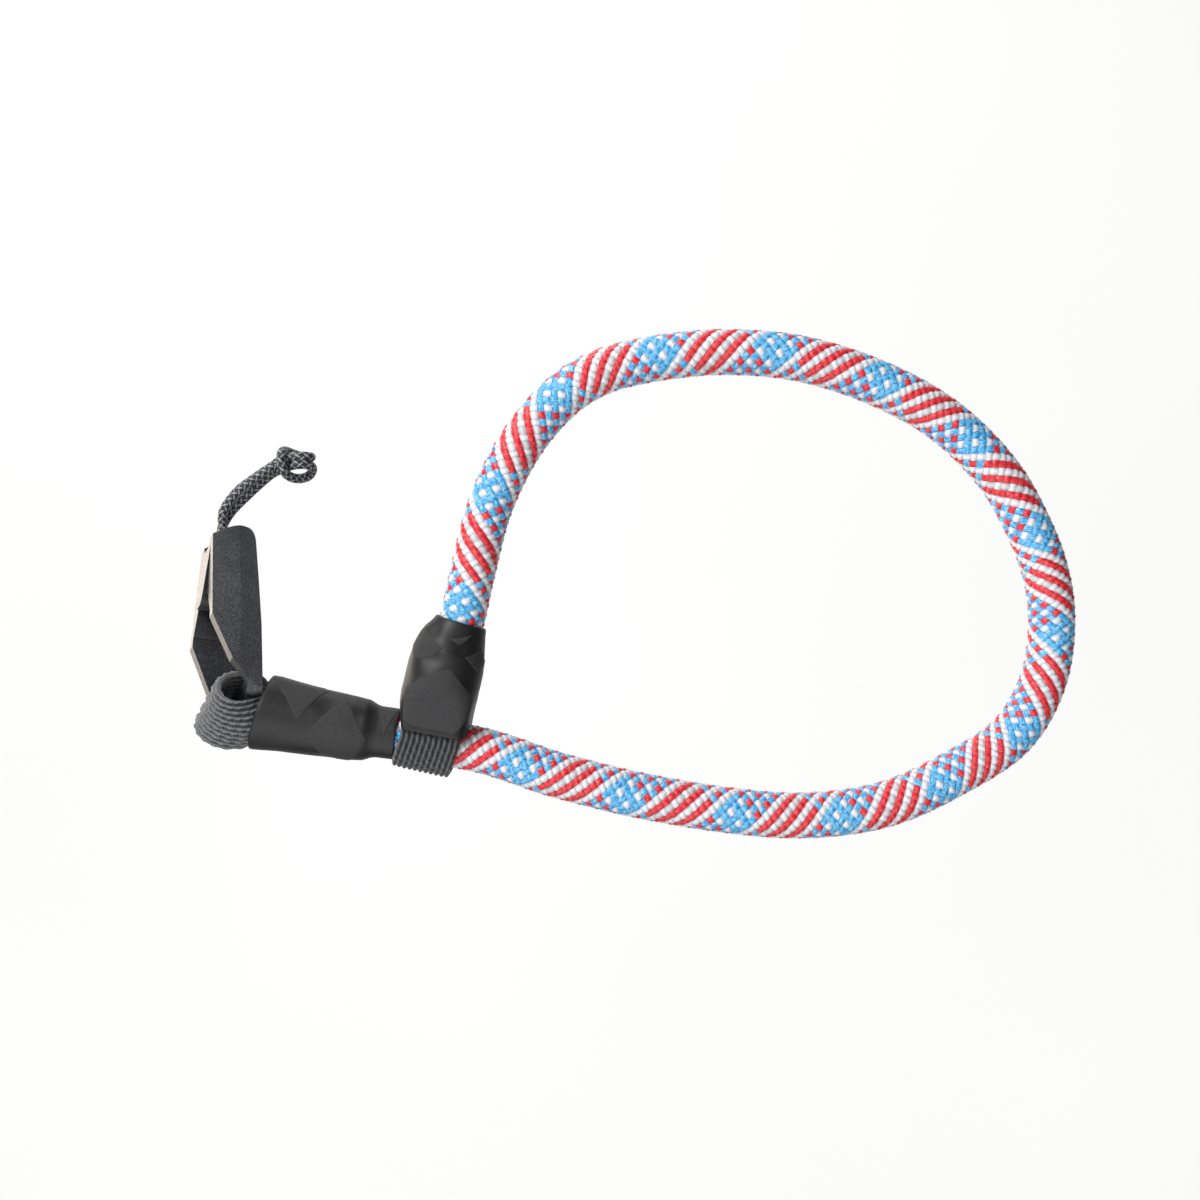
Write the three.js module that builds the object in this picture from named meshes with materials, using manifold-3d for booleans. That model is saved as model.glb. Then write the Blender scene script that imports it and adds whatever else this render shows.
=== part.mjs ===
// A wrist strap for a camera: a noose of climbing rope with a quick-release connector on a thin anchor cord.
// Millimetres, +Z up, +X to the right and +Y away from the viewer. The origin is where the cord's hitch closes
// round the camera's ring, and the strap hangs below it.
import * as THREE from "three";
import { ConvexGeometry } from "three/addons/geometries/ConvexGeometry.js";
import { mergeVertices } from "three/addons/utils/BufferGeometryUtils.js";
import Module from "manifold-3d";

const wasm = await Module();
wasm.setup();

// Driving dimensions
const clearance = 0.2; // between pieces that touch
const rope = { diameter: 10, sides: 12, steps: 80, planeY: -18 };
const cord = { diameter: 2.2, sides: 8, steps: 80 };
const webbing = { width: 12.8, thickness: 1.7, strips: 8, slack: 0.1 }; // slack where it folds round something
const collar = { wall: 0.5, sides: 24, rings: 22 };

// Each end of the rope lies in a collar between the two tails of a folded webbing. The collar's sizes are half its
// width and half its depth, as shares of the radius that just covers the rope and the tails. Where the tails lie flat
// at its mouth, its half width there is a share of what just covers them instead.
const anchor = {
  tail: 12, // how far the tails lie beside the rope
  turn: 32, // of the tails about the rope, in degrees
  mouth: 10.8, // from the rope's end out to the collar's mouth
  neck: 18.7, // from the rope's end in to the collar's other end
  hold: 14.5, // where the collar has closed on the bare rope
  body: [1.01, 1.01], // over the tails
  rim: [1.08, 1.08], // at its mouth
  squareness: 2, // of the mouth: 2 is an ellipse
  slant: 0.14, // of the mouth, along the rope for each millimetre up
  open: 1, // share of the tails' curl that is left at the mouth
  fold: { start: 10.8, shift: [-1.9, -0.2, 0.3], steps: 14 }, // its middle, from the connector bar's middle
};
const keeper = {
  tail: 11,
  turn: 0,
  mouth: 6.2,
  neck: 18.2,
  hold: 18.2,
  body: [1.04, 1.01],
  rim: [1.015, 1.08],
  squareness: 12,
  slant: 0,
  open: 0,
  fold: { start: 8.2, shift: [0, 0, -0.5], steps: 14 }, // its middle, from the rope's axis where it crosses
};
const anchorAcross = [-0.45, 0.71, -0.54]; // how the anchor's webbing lies across the connector's bar
const crossing = 25.5; // from the rope's first end to where the keeper's webbing goes round it
const button = { diameter: 9.4, thickness: 2.6, edge: 0.8 };
const connector = {
  crest: [-20.6, -4.0, -17.6], // the middle of the top front edge
  across: [-0.45, 0.77, -0.45],
  up: [-0.09, 0.472, 0.877],
  depth: 10.2,
  height: 40, // from the top front edge down to the foot
  halfWidths: { top: 4.6, knee: 9.4, foot: 10.8 },
  barDepth: 3.2,
  barHeight: 2.8,
  barRound: 0.9,
  legWidth: 2.3,
  knee: { depth: -0.9, drop: 22.6 }, // the front is fullest here, and the legs slope back below it
  ankle: { depth: 3.4, drop: 33 },
  crown: { rise: 4, from: 5.6, to: 8.3 },
  ridge: { top: 6.1, foot: 4.7 }, // where the side's back facet starts
  facet: 1.4,
  bottomRadius: 5,
  frontWall: 2,
  channelDepth: 4.4,
  windowTop: 20.5,
  notch: 1.8, // how far the cord's slot runs down the front
  bridge: 3.4,
  throat: { width: 5.1, round: 1.7 },
  tongue: { width: 6.4, root: 2.4, length: 16.6, proud: 1, round: 2.9 },
  slit: { top: 14.8, width: 7.6 },
};

// The rope's route, X and Z of each point, chosen by hand from its first end in the anchor's collar, round the noose
// and back down to its other end in the keeper's collar.
const ropeRoute = [
  [5.2, -56.3], [11.3, -57.4], [18.1, -58.4], [24.0, -59.2], [30.6, -60.3], [37.0, -61.6], [42.9, -62.9],
  [49.5, -65.0], [56.0, -67.3], [67.2, -70.3], [75.8, -72.3], [93.4, -75.3], [110.2, -76.6], [127.8, -74.4],
  [143.1, -67.7], [156.0, -59.0], [162.6, -47.2], [164.3, -33.6], [162.7, -23.4], [158.9, -13.7], [152.8, -3.2],
  [141.4, 8.2], [127.4, 16.1], [110.2, 21.6], [93.4, 23.0], [80.9, 21.9], [75.8, 21.0], [68.2, 19.0],
  [60.1, 14.4], [51.2, 4.7], [43.8, -9.5], [39.6, -25.3], [37.4, -35.0], [35.0, -41.3], [33.7, -46.6],
  [32.6, -52.5],
];

// The anchor cord's route, chosen by hand: out of the connector, through the hitch and back beside itself.
const cordRoute = [
  [-16.7, -4.5, -19.9], [-17.2, -2.4, -15.9], [-17.7, -1.8, -13.2], [-17.5, -2.1, -10.6], [-15.8, -2.4, -7.8],
  [-13.6, -2.6, -5.4], [-11.2, -2.6, -3.6], [-8.8, -2.6, -1.9], [-6.8, -2.6, -0.5], [-4.6, -2.3, 1.6],
  [-2.4, -2.4, 2.4], [0, -2.5, 2.5], [1.9, -1.7, 2.5], [2.7, 0.3, 2.5], [1.6, 2.2, 2.6], [-0.6, 2.7, 3.1],
  [-2.8, 1.8, 3.9], [-4.1, -0.5, 4.6], [-4.5, -3.1, 4.1], [-4.4, -4.7, 2.4], [-4.3, -5.0, 0.4], [-4.1, -4.7, -1.6],
  [-3.9, -3.0, -3.3], [-3.3, -0.6, -3.9], [-1.9, 1.6, -3.5], [0.3, 2.7, -2.5], [2.0, 1.9, -1.2], [2.7, 0.2, -0.5],
  [1.9, -1.7, -0.1], [0, -2.5, -0.1], [-2.4, -2.2, -0.4], [-4.5, -1.4, -1.0], [-6.5, 0, -1.6], [-8.1, 0.2, -2.8],
  [-12.3, 0.1, -6.8], [-16.2, 0.5, -10.7], [-18.3, 0.7, -14.1], [-18.3, -0.4, -16.9], [-17.8, -2.6, -21.0],
];

const ropeRadius = rope.diameter / 2;
const tailRadius = ropeRadius + clearance + webbing.thickness / 2;
const foldRadius = tailRadius + webbing.slack;
const coverRadius = tailRadius + webbing.thickness / 2 + clearance + collar.wall;
const flatCover = webbing.width / 2 + clearance + collar.wall;
const ropeCurve = new THREE.CatmullRomCurve3(
  ropeRoute.map(([x, z]) => new THREE.Vector3(x, rope.planeY, z)),
  false,
  "centripetal",
);
const ropeLength = ropeCurve.getLength();

// A closed three.js geometry as a solid that can be joined and cut.
function solid(geometry) {
  const bare = geometry.clone();
  bare.deleteAttribute("normal");
  bare.deleteAttribute("uv");
  const merged = mergeVertices(bare, 1e-4);
  return new wasm.Manifold(
    new wasm.Mesh({
      numProp: 3,
      vertProperties: merged.attributes.position.array,
      triVerts: new Uint32Array(merged.index.array),
    }),
  );
}

// A joined or cut solid as a three.js geometry.
function geometryOf(made) {
  const mesh = made.getMesh();
  const geometry = new THREE.BufferGeometry();
  geometry.setAttribute("position", new THREE.BufferAttribute(mesh.vertProperties, 3));
  geometry.setIndex(new THREE.BufferAttribute(mesh.triVerts, 1));
  geometry.computeVertexNormals();
  return geometry;
}

// Moves every vertex of a geometry to place(vertex).
function reshaped(geometry, place) {
  const position = geometry.attributes.position;
  for (let i = 0; i < position.count; i++) {
    const moved = place(new THREE.Vector3().fromBufferAttribute(position, i));
    position.setXYZ(i, moved.x, moved.y, moved.z);
  }
  geometry.computeVertexNormals();
  return geometry;
}

// The point and the directions of the rope's axis at a distance from its first end. Past either end the axis runs
// straight on. across and out are turned about the axis, and out points away from the viewer at a turn of 0.
function ropeAxis(distance, turn) {
  const inside = THREE.MathUtils.clamp(distance, 0, ropeLength);
  const along = ropeCurve.getTangentAt(inside / ropeLength);
  const point = ropeCurve.getPointAt(inside / ropeLength).addScaledVector(along, distance - inside);
  const away = new THREE.Vector3(0, 1, 0);
  const side = new THREE.Vector3().crossVectors(away, along);
  const angle = THREE.MathUtils.degToRad(turn);
  const out = away.clone().multiplyScalar(Math.cos(angle)).addScaledVector(side, -Math.sin(angle));
  const across = new THREE.Vector3().crossVectors(out, along);
  return { point, along, across, out };
}

// A round bar along a curve.
function bar(curve, diameter, sides, steps) {
  const section = new THREE.Shape(
    Array.from({ length: sides }, (_, i) => {
      const angle = (2 * Math.PI * i) / sides;
      return new THREE.Vector2(Math.cos(angle), Math.sin(angle)).multiplyScalar(diameter / 2);
    }),
  );
  return new THREE.ExtrudeGeometry(section, { steps, extrudePath: curve });
}

function spread(from, to, count) {
  return Array.from({ length: count + 1 }, (_, i) => THREE.MathUtils.lerp(from, to, i / count));
}

// A strip of webbing through stations, each with its centre, its width direction, its face's normal and the
// curvature of its width. Its width runs whichever way turns its faces outwards.
function strip(stations, width) {
  const last = stations.length - 1;
  const box = new THREE.BoxGeometry(last, 1, 1, last, 1, webbing.strips);
  return reshaped(box, (v) => {
    const i = Math.round(v.x + last / 2);
    const { centre, across, out, curvature } = stations[i];
    const along = stations[Math.min(i + 1, last)].centre.clone().sub(stations[Math.max(i - 1, 0)].centre);
    const side = v.z * width * Math.sign(along.cross(out).dot(across));
    const height = v.y * webbing.thickness;
    const curl = 1 / Math.max(curvature, 1e-3);
    return centre
      .clone()
      .addScaledVector(across, (curl + height) * Math.sin(side / curl))
      .addScaledVector(out, (curl + height) * Math.cos(side / curl) - curl);
  });
}

// One of the two tails that lie beside the rope, on its face (-1 towards the viewer, 1 away). Past the rope's end its
// curl opens.
function tailStations({ turn, mouth, open }, end, inward, reaches, face) {
  return reaches.map((reach) => {
    const { point, across, out } = ropeAxis(end + inward * reach, turn);
    const curl = THREE.MathUtils.lerp(1, open, THREE.MathUtils.smoothstep(-reach, 0, mouth / 2));
    return {
      centre: point.addScaledVector(out, face * tailRadius),
      across,
      out: out.multiplyScalar(face),
      curvature: curl / tailRadius,
    };
  });
}

// Webbing whose two tails lie beside one end of the rope. Past that end it folds round a middle, with its width along
// a direction there, and comes back. inward is 1 at the rope's first end and -1 at its other end.
function foldedWebbing(held, end, inward, middle, direction) {
  const { tail, turn, open, fold } = held;
  const { point, along, across, out } = ropeAxis(end - inward * fold.start, turn);
  const centre = middle.clone().add(new THREE.Vector3(...fold.shift));
  const wide = direction.clone().normalize();
  if (wide.dot(across) < 0) wide.negate();
  const bend = spread(0, Math.PI, fold.steps).slice(1, -1).map((angle) => {
    const share = Math.sin(angle);
    const width = across.clone().lerp(wide, share).normalize();
    const outward = out.clone().multiplyScalar(-Math.cos(angle)).addScaledVector(along, -inward * share);
    outward.addScaledVector(width, -outward.dot(width)).normalize();
    const place = point.clone().lerp(centre, share);
    place.addScaledVector(outward, THREE.MathUtils.lerp(tailRadius, foldRadius, share));
    return { centre: place, across: width, out: outward, curvature: (open * (1 - share) ** 2) / tailRadius };
  });
  const reaches = spread(tail, -fold.start, 9);
  const front = tailStations(held, end, inward, reaches, -1);
  const back = tailStations(held, end, inward, reaches.toReversed(), 1);
  return strip([...front, ...bend, ...back], webbing.width);
}

// A power of a number that keeps its sign, and that is exactly 0 where the number is as good as 0.
function signedPower(value, power) {
  return Math.abs(value) < 1e-6 ? 0 : Math.sign(value) * Math.abs(value) ** power;
}

// A heat-shrunk collar along the rope's axis, open at both ends, from its mouth over the tails to its neck on the
// bare rope.
function sleeve({ tail, turn, mouth, neck, hold, body, rim, squareness, slant, open }, end, inward) {
  const { rings, wall } = collar;
  const [outside, inside] = [2, 1]; // marks on the ring's two faces
  const mouthSizes = [THREE.MathUtils.lerp(flatCover, coverRadius, open) * rim[0], coverRadius * rim[1]];
  const neckSize = ropeRadius + clearance + wall;
  const outer = Array.from({ length: rings + 1 }, (_, k) => new THREE.Vector2(outside, k));
  const inner = outer.map((p) => new THREE.Vector2(inside, p.y)).reverse();
  const ring = new THREE.LatheGeometry([...outer, ...inner, outer[0]], collar.sides);
  return reshaped(ring, (v) => {
    const reach = THREE.MathUtils.lerp(-mouth, neck, v.y / rings);
    const { point, along, across, out } = ropeAxis(end + inward * reach, turn);
    const bare = THREE.MathUtils.smoothstep(reach, tail + clearance, hold);
    const near = 1 - THREE.MathUtils.smoothstep(reach, -mouth / 2, 0); // 1 where the mouth is near
    const depth = Math.hypot(v.x, v.z) > (outside + inside) / 2 ? 0 : wall;
    const [half, face] = body.map((share, i) => {
      const covering = THREE.MathUtils.lerp(share * coverRadius, mouthSizes[i], near);
      return THREE.MathUtils.lerp(covering, neckSize, bare) - depth;
    });
    const square = 2 / THREE.MathUtils.lerp(2, squareness, near);
    const angle = Math.atan2(v.z, v.x);
    const placed = point
      .clone()
      .addScaledVector(across, -inward * half * signedPower(Math.cos(angle), square))
      .addScaledVector(out, face * signedPower(Math.sin(angle), square));
    return placed.addScaledVector(along, slant * near * (placed.z - point.z));
  });
}

// Connector: its own axes are x from front to back, y across from the near leg to the far one, and z up, from the
// middle of the top front edge.
const alongDepth = new THREE.Matrix4().makeBasis(
  new THREE.Vector3(0, 1, 0),
  new THREE.Vector3(0, 0, 1),
  new THREE.Vector3(1, 0, 0),
);
const alongWidth = new THREE.Matrix4().makeRotationX(Math.PI / 2);

// A prism of an outline, through the connector's depth from a distance behind its front.
function throughDepth(shape, depth, start) {
  const geometry = new THREE.ExtrudeGeometry(shape, { depth, bevelEnabled: false, curveSegments: 8 });
  geometry.applyMatrix4(alongDepth);
  geometry.translate(start, 0, 0);
  return solid(geometry);
}

// A prism of a side profile, through the connector's width and centred on its middle.
function throughWidth(shape, width) {
  const geometry = new THREE.ExtrudeGeometry(shape, { depth: width, bevelEnabled: false, curveSegments: 8 });
  geometry.applyMatrix4(alongWidth);
  geometry.translate(0, width / 2, 0);
  return solid(geometry);
}

// A band across the middle, with its upper and lower corners rounded.
function panel(width, bottom, top, lowerRadius, upperRadius) {
  const half = width / 2;
  const shape = new THREE.Shape();
  shape.moveTo(lowerRadius - half, bottom);
  shape.lineTo(half - lowerRadius, bottom);
  if (lowerRadius) shape.absarc(half - lowerRadius, bottom + lowerRadius, lowerRadius, -Math.PI / 2, 0, false);
  shape.lineTo(half, top - upperRadius);
  if (upperRadius) shape.absarc(half - upperRadius, top - upperRadius, upperRadius, 0, Math.PI / 2, false);
  shape.lineTo(upperRadius - half, top);
  if (upperRadius) shape.absarc(upperRadius - half, top - upperRadius, upperRadius, Math.PI / 2, Math.PI, false);
  shape.lineTo(-half, bottom + lowerRadius);
  if (lowerRadius) shape.absarc(lowerRadius - half, bottom + lowerRadius, lowerRadius, Math.PI, 1.5 * Math.PI, false);
  return shape;
}

const foot = -connector.height;
const barTop = foot + connector.barHeight;
const barFront = connector.depth - connector.barDepth;
const channelWidth = button.diameter + 2 * clearance;
const channelBack = connector.frontWall + connector.channelDepth;
const beyond = 3; // how far a cut runs past the surface that it opens

function connectorSide() {
  const { ankle, barRound, crown, depth, halfWidths, knee } = connector;
  const side = new THREE.Shape();
  side.moveTo(0, 0);
  side.lineTo(knee.depth, -knee.drop);
  side.lineTo(ankle.depth, -ankle.drop);
  side.quadraticCurveTo(barFront, barTop, barFront, (foot + barTop) / 2);
  side.quadraticCurveTo(barFront, foot, barFront + barRound, foot);
  side.lineTo(depth - barRound, foot);
  side.quadraticCurveTo(depth, foot, depth, foot + barRound);
  side.lineTo(depth, 0);
  side.quadraticCurveTo(depth, crown.rise, crown.to, crown.rise);
  side.quadraticCurveTo(crown.from, crown.rise, crown.from / 2, crown.rise / 2);
  side.closePath();
  return throughWidth(side, 2 * halfWidths.foot + beyond);
}

// The taper of the sides, with the facets along their backs.
function connectorTaper() {
  const { depth, facet, halfWidths, knee, ridge } = connector;
  const section = (v, half) => {
    const start = THREE.MathUtils.lerp(ridge.top, ridge.foot, v / foot);
    const back = depth + beyond;
    const inset = (facet * (back - start)) / (depth - start);
    return [-1, 1].flatMap((way) => [
      new THREE.Vector3(knee.depth - beyond, way * half, v),
      new THREE.Vector3(start, way * half, v),
      new THREE.Vector3(back, way * (half - inset), v),
    ]);
  };
  const slope = (halfWidths.knee - halfWidths.top) / knee.drop;
  return solid(
    new ConvexGeometry([
      ...section(2 * beyond, halfWidths.top - 2 * beyond * slope),
      ...section(-knee.drop, halfWidths.knee),
      ...section(foot, halfWidths.foot),
    ]),
  );
}

// Half of the window's width, inside the legs, at a height.
function insideLegs(v) {
  const { halfWidths, knee, legWidth } = connector;
  const share = (v + knee.drop) / (foot + knee.drop);
  return THREE.MathUtils.lerp(halfWidths.knee, halfWidths.foot, share) - legWidth;
}

function connectorBody() {
  const { bottomRadius, bridge, channelDepth, depth, frontWall, halfWidths, notch, slit } = connector;
  const { throat, tongue, windowTop } = connector;
  const through = depth + 2 * beyond;
  const outline = panel(2 * halfWidths.foot, foot, 2 * beyond, bottomRadius, 0);
  const window = new THREE.Shape();
  window.moveTo(-insideLegs(-windowTop), -windowTop);
  window.lineTo(-insideLegs(barTop), barTop);
  window.lineTo(insideLegs(barTop), barTop);
  window.lineTo(insideLegs(-windowTop), -windowTop);
  window.closePath();
  const arch = new THREE.Shape();
  arch.moveTo(-insideLegs(-windowTop), -windowTop - clearance);
  arch.lineTo(insideLegs(-windowTop), -windowTop - clearance);
  arch.lineTo(slit.width / 2, -slit.top);
  arch.lineTo(-slit.width / 2, -slit.top);
  arch.closePath();
  const channel = panel(channelWidth, -windowTop - clearance, -bridge, 0, channelWidth / 2 - clearance);
  const passage = panel(throat.width, -windowTop, 2 * beyond, 0, 0);
  const slot = panel(throat.width, -notch, 2 * beyond, throat.round, 0);
  const tab = panel(tongue.width, -tongue.length, -tongue.root, tongue.round, 0);
  const lift = new THREE.Shape();
  const front = (v) => (connector.knee.depth * v) / connector.knee.drop;
  lift.moveTo(front(tongue.root), -tongue.root);
  lift.lineTo(front(slit.top) - tongue.proud, -slit.top);
  lift.lineTo(front(slit.top) - tongue.proud, -tongue.length);
  lift.lineTo(frontWall, -tongue.length);
  lift.lineTo(frontWall, -tongue.root);
  lift.closePath();
  return connectorSide()
    .intersect(connectorTaper())
    .intersect(throughDepth(outline, through, -beyond))
    .subtract(throughDepth(window, through, -beyond))
    .subtract(throughDepth(channel, channelDepth, frontWall))
    .subtract(throughDepth(passage, channelDepth, frontWall))
    .subtract(throughDepth(slot, frontWall + beyond, -beyond))
    .subtract(throughDepth(arch, channelBack + beyond, -beyond))
    .add(throughWidth(lift, tongue.width).intersect(throughDepth(tab, through, -beyond)));
}

// The button is a disc with a rounded rim, seated in the channel behind the tongue.
const buttonDrop = connector.bridge + channelWidth / 2;

function buttonBody() {
  const { diameter, edge, thickness } = button;
  const profile = [
    [0, 0], [diameter / 2 - edge, 0], [diameter / 2, edge], [diameter / 2, thickness - edge],
    [diameter / 2 - edge, thickness], [0, thickness],
  ].map(([r, y]) => new THREE.Vector2(r, y));
  const disc = new THREE.LatheGeometry(profile, 24);
  disc.rotateZ(-Math.PI / 2);
  disc.translate((connector.frontWall + channelBack - thickness) / 2, 0, -buttonDrop);
  return disc;
}

const up = new THREE.Vector3(...connector.up).normalize();
const across = new THREE.Vector3(...connector.across);
across.addScaledVector(up, -across.dot(up)).normalize();
const connectorPose = new THREE.Matrix4()
  .makeBasis(new THREE.Vector3().crossVectors(across, up), across, up)
  .setPosition(...connector.crest);

// The keeper's collar, with its mouth cut to stand over the rope's first stretch.
function keeperCollar() {
  const room = bar(ropeCurve, rope.diameter + 2 * clearance, rope.sides, rope.steps);
  const { point } = ropeAxis(2 * crossing, 0);
  const around = 4 * rope.diameter;
  const stretch = new THREE.BoxGeometry(point.x, around, around);
  stretch.translate(point.x / 2, point.y, point.z);
  return geometryOf(solid(sleeve(keeper, ropeLength, -1)).subtract(solid(room).intersect(solid(stretch))));
}

const barMiddle = new THREE.Vector3(connector.depth - connector.barDepth / 2, 0, foot + connector.barHeight / 2);
barMiddle.applyMatrix4(connectorPose);
const crossed = ropeAxis(crossing, 0);

const group = new THREE.Group();

function piece(name, geometry, colour, roughness, metalness = 0) {
  const mesh = new THREE.Mesh(geometry, new THREE.MeshStandardMaterial({ color: colour, roughness, metalness }));
  mesh.name = name;
  group.add(mesh);
  return mesh;
}

const cordCurve = new THREE.CatmullRomCurve3(
  cordRoute.map((p) => new THREE.Vector3(...p)),
  false,
  "centripetal",
);
const housing = new THREE.Group();
housing.applyMatrix4(connectorPose);
group.add(housing);

const anchorLoop = foldedWebbing(anchor, 0, 1, barMiddle, new THREE.Vector3(...anchorAcross));
const keeperBand = foldedWebbing(keeper, ropeLength, -1, crossed.point, crossed.along);
piece("anchor_cord", bar(cordCurve, cord.diameter, cord.sides, cord.steps), 0x1b1b1d, 0.7);
housing.add(piece("anchor_button", buttonBody(), 0x202124, 0.5));
housing.add(piece("connector", geometryOf(connectorBody()), 0x3a3b3e, 0.55));
piece("anchor_webbing", anchorLoop, 0x2a2b2e, 0.9);
piece("anchor_collar", sleeve(anchor, 0, 1), 0x242424, 0.6);
piece("rope", bar(ropeCurve, rope.diameter, rope.sides, rope.steps), 0xe3e6ea, 0.6);
piece("keeper_collar", keeperCollar(), 0x242424, 0.6);
piece("keeper_webbing", keeperBand, 0x2a2b2e, 0.9);

export default group;
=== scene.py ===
"""Looks of a camera wrist strap: a noose of braided climbing rope with shrunk collars, folded webbing, a
moulded quick-release connector and a thin anchor cord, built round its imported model."""

import logging
import math
from dataclasses import dataclass, field
from enum import Enum
from typing import Any, NamedTuple

import bmesh
import bpy
import numpy as np
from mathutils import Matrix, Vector


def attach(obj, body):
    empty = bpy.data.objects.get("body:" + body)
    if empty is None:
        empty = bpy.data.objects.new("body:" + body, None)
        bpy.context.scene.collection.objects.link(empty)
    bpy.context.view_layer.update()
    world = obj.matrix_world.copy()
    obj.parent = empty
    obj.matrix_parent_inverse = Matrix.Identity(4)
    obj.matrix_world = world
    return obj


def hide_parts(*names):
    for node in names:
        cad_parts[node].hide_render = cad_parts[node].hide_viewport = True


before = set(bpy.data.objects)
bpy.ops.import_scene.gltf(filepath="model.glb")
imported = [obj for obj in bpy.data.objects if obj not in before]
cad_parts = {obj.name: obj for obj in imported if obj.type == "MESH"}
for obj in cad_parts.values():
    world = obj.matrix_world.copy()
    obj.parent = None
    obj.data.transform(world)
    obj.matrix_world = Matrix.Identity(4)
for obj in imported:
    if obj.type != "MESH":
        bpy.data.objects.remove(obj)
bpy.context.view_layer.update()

log = logging.getLogger("wrist_strap")
MM = 0.001
WAVE_PHASE = 20  # of a wave texture, in radians, over one unit of its scaled coordinates

# The rope lies in one upright plane. X and Z of its route in metres, from its first end in the anchor's
# collar, round the noose and back down to its other end in the keeper's collar.
ROPE_PLANE_Y = -0.018
ROPE_ROUTE = [
    (0.0052, -0.0563), (0.0113, -0.0574), (0.0181, -0.0584), (0.0240, -0.0592), (0.0306, -0.0603),
    (0.0370, -0.0616), (0.0429, -0.0629), (0.0495, -0.0650), (0.0560, -0.0673), (0.0672, -0.0703),
    (0.0758, -0.0723), (0.0934, -0.0753), (0.1102, -0.0766), (0.1278, -0.0744), (0.1431, -0.0677),
    (0.1560, -0.0590), (0.1626, -0.0472), (0.1643, -0.0336), (0.1627, -0.0234), (0.1589, -0.0137),
    (0.1528, -0.0032), (0.1414, 0.0082), (0.1274, 0.0161), (0.1102, 0.0216), (0.0934, 0.0230),
    (0.0809, 0.0219), (0.0758, 0.0210), (0.0682, 0.0190), (0.0601, 0.0144), (0.0512, 0.0047),
    (0.0438, -0.0095), (0.0396, -0.0253), (0.0374, -0.0350), (0.0350, -0.0413), (0.0337, -0.0466),
    (0.0326, -0.0525),
]

# The rope's lay is uneven, as in any rope that has been bent. In millimetres from its first end, where each
# blue patch comes round to the front.
ROPE_BLUE_MARKS = (46, 69, 93, 115.5, 138.5, 158.5, 181, 202.5, 227.5, 250, 274, 299, 322.5, 347, 372)

# The yarns of each braid, a letter for each strand in order round it: white, red, grey, blue, black and
# flecked. Forward strands turn one way along the braid and back strands the other way.
ROPE_CHART_FORWARD = "WRGRWRWBBBBB"
ROPE_CHART_BACK = "WBWBWRWRWRWR"
CORD_CHART_FORWARD = "FKKFKKFKKFKK"
CORD_CHART_BACK = "KFKKFKKFKKFK"

# The anchor cord's route in metres: out of the connector, through the hitch and back beside itself.
CORD_ROUTE = [
    (-0.0167, -0.0045, -0.0199), (-0.0172, -0.0024, -0.0159), (-0.0177, -0.0018, -0.0132),
    (-0.0175, -0.0021, -0.0106), (-0.0158, -0.0024, -0.0078), (-0.0136, -0.0026, -0.0054),
    (-0.0112, -0.0026, -0.0036), (-0.0088, -0.0026, -0.0019), (-0.0067, -0.0025, -0.0005),
    (-0.0046, -0.0022, 0.0010), (-0.0024, -0.0021, 0.0018), (-0.0003, -0.0021, 0.0020),
    (0.0012, -0.0014, 0.0020), (0.0018, 0.0002, 0.0020), (0.0010, 0.0018, 0.0021),
    (-0.0008, 0.0023, 0.0024), (-0.0026, 0.0016, 0.0029), (-0.0038, -0.0004, 0.0033),
    (-0.0041, -0.0027, 0.0029), (-0.0041, -0.0042, 0.0016), (-0.0039, -0.0045, 0.0001),
    (-0.0035, -0.0041, -0.0013), (-0.0027, -0.0030, -0.0024), (-0.0014, -0.0014, -0.0029),
    (0.0001, 0.0003, -0.0027), (0.0012, 0.0015, -0.0020), (0.0019, 0.0013, -0.0010),
    (0.0020, 0.0, -0.0002), (0.0012, -0.0015, 0.0002), (-0.0003, -0.0022, 0.0002),
    (-0.0024, -0.0020, -0.0001), (-0.0045, -0.0013, -0.0008), (-0.0065, -0.0001, -0.0015),
    (-0.0082, 0.0001, -0.0027), (-0.0125, 0.0001, -0.0066), (-0.0164, 0.0005, -0.0105),
    (-0.0184, 0.0007, -0.0140), (-0.0183, -0.0004, -0.0169), (-0.0178, -0.0026, -0.0210),
]


def linear(code: str) -> tuple[float, float, float, float]:
    """Turns an sRGB hex code into a linear colour.

    Args:
        code: the colour, such as #E9EAEE.

    Returns:
        Its red, green and blue, and full alpha.
    """
    channels = [int(code[i : i + 2], 16) / 255 for i in (1, 3, 5)]
    red, green, blue = [c / 12.92 if c <= 0.04045 else ((c + 0.055) / 1.055) ** 2.4 for c in channels]
    return (red, green, blue, 1.0)


def band_scale(period: float) -> float:
    """Returns the wave texture's scale that gives bands of this period, in the units of its coordinates."""
    return 2 * math.pi / (WAVE_PHASE * period)


def smoothstep(value: Any, low: float, high: float) -> Any:
    """Returns 0 below low, 1 above high and a smooth rise between them."""
    share = np.clip((value - low) / (high - low), 0, 1)
    return share * share * (3 - 2 * share)


def unit(vectors: np.ndarray) -> np.ndarray:
    """Scales a vector, or each row of an array of them, to length 1."""
    return vectors / np.linalg.norm(vectors, axis=-1, keepdims=True)


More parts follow.
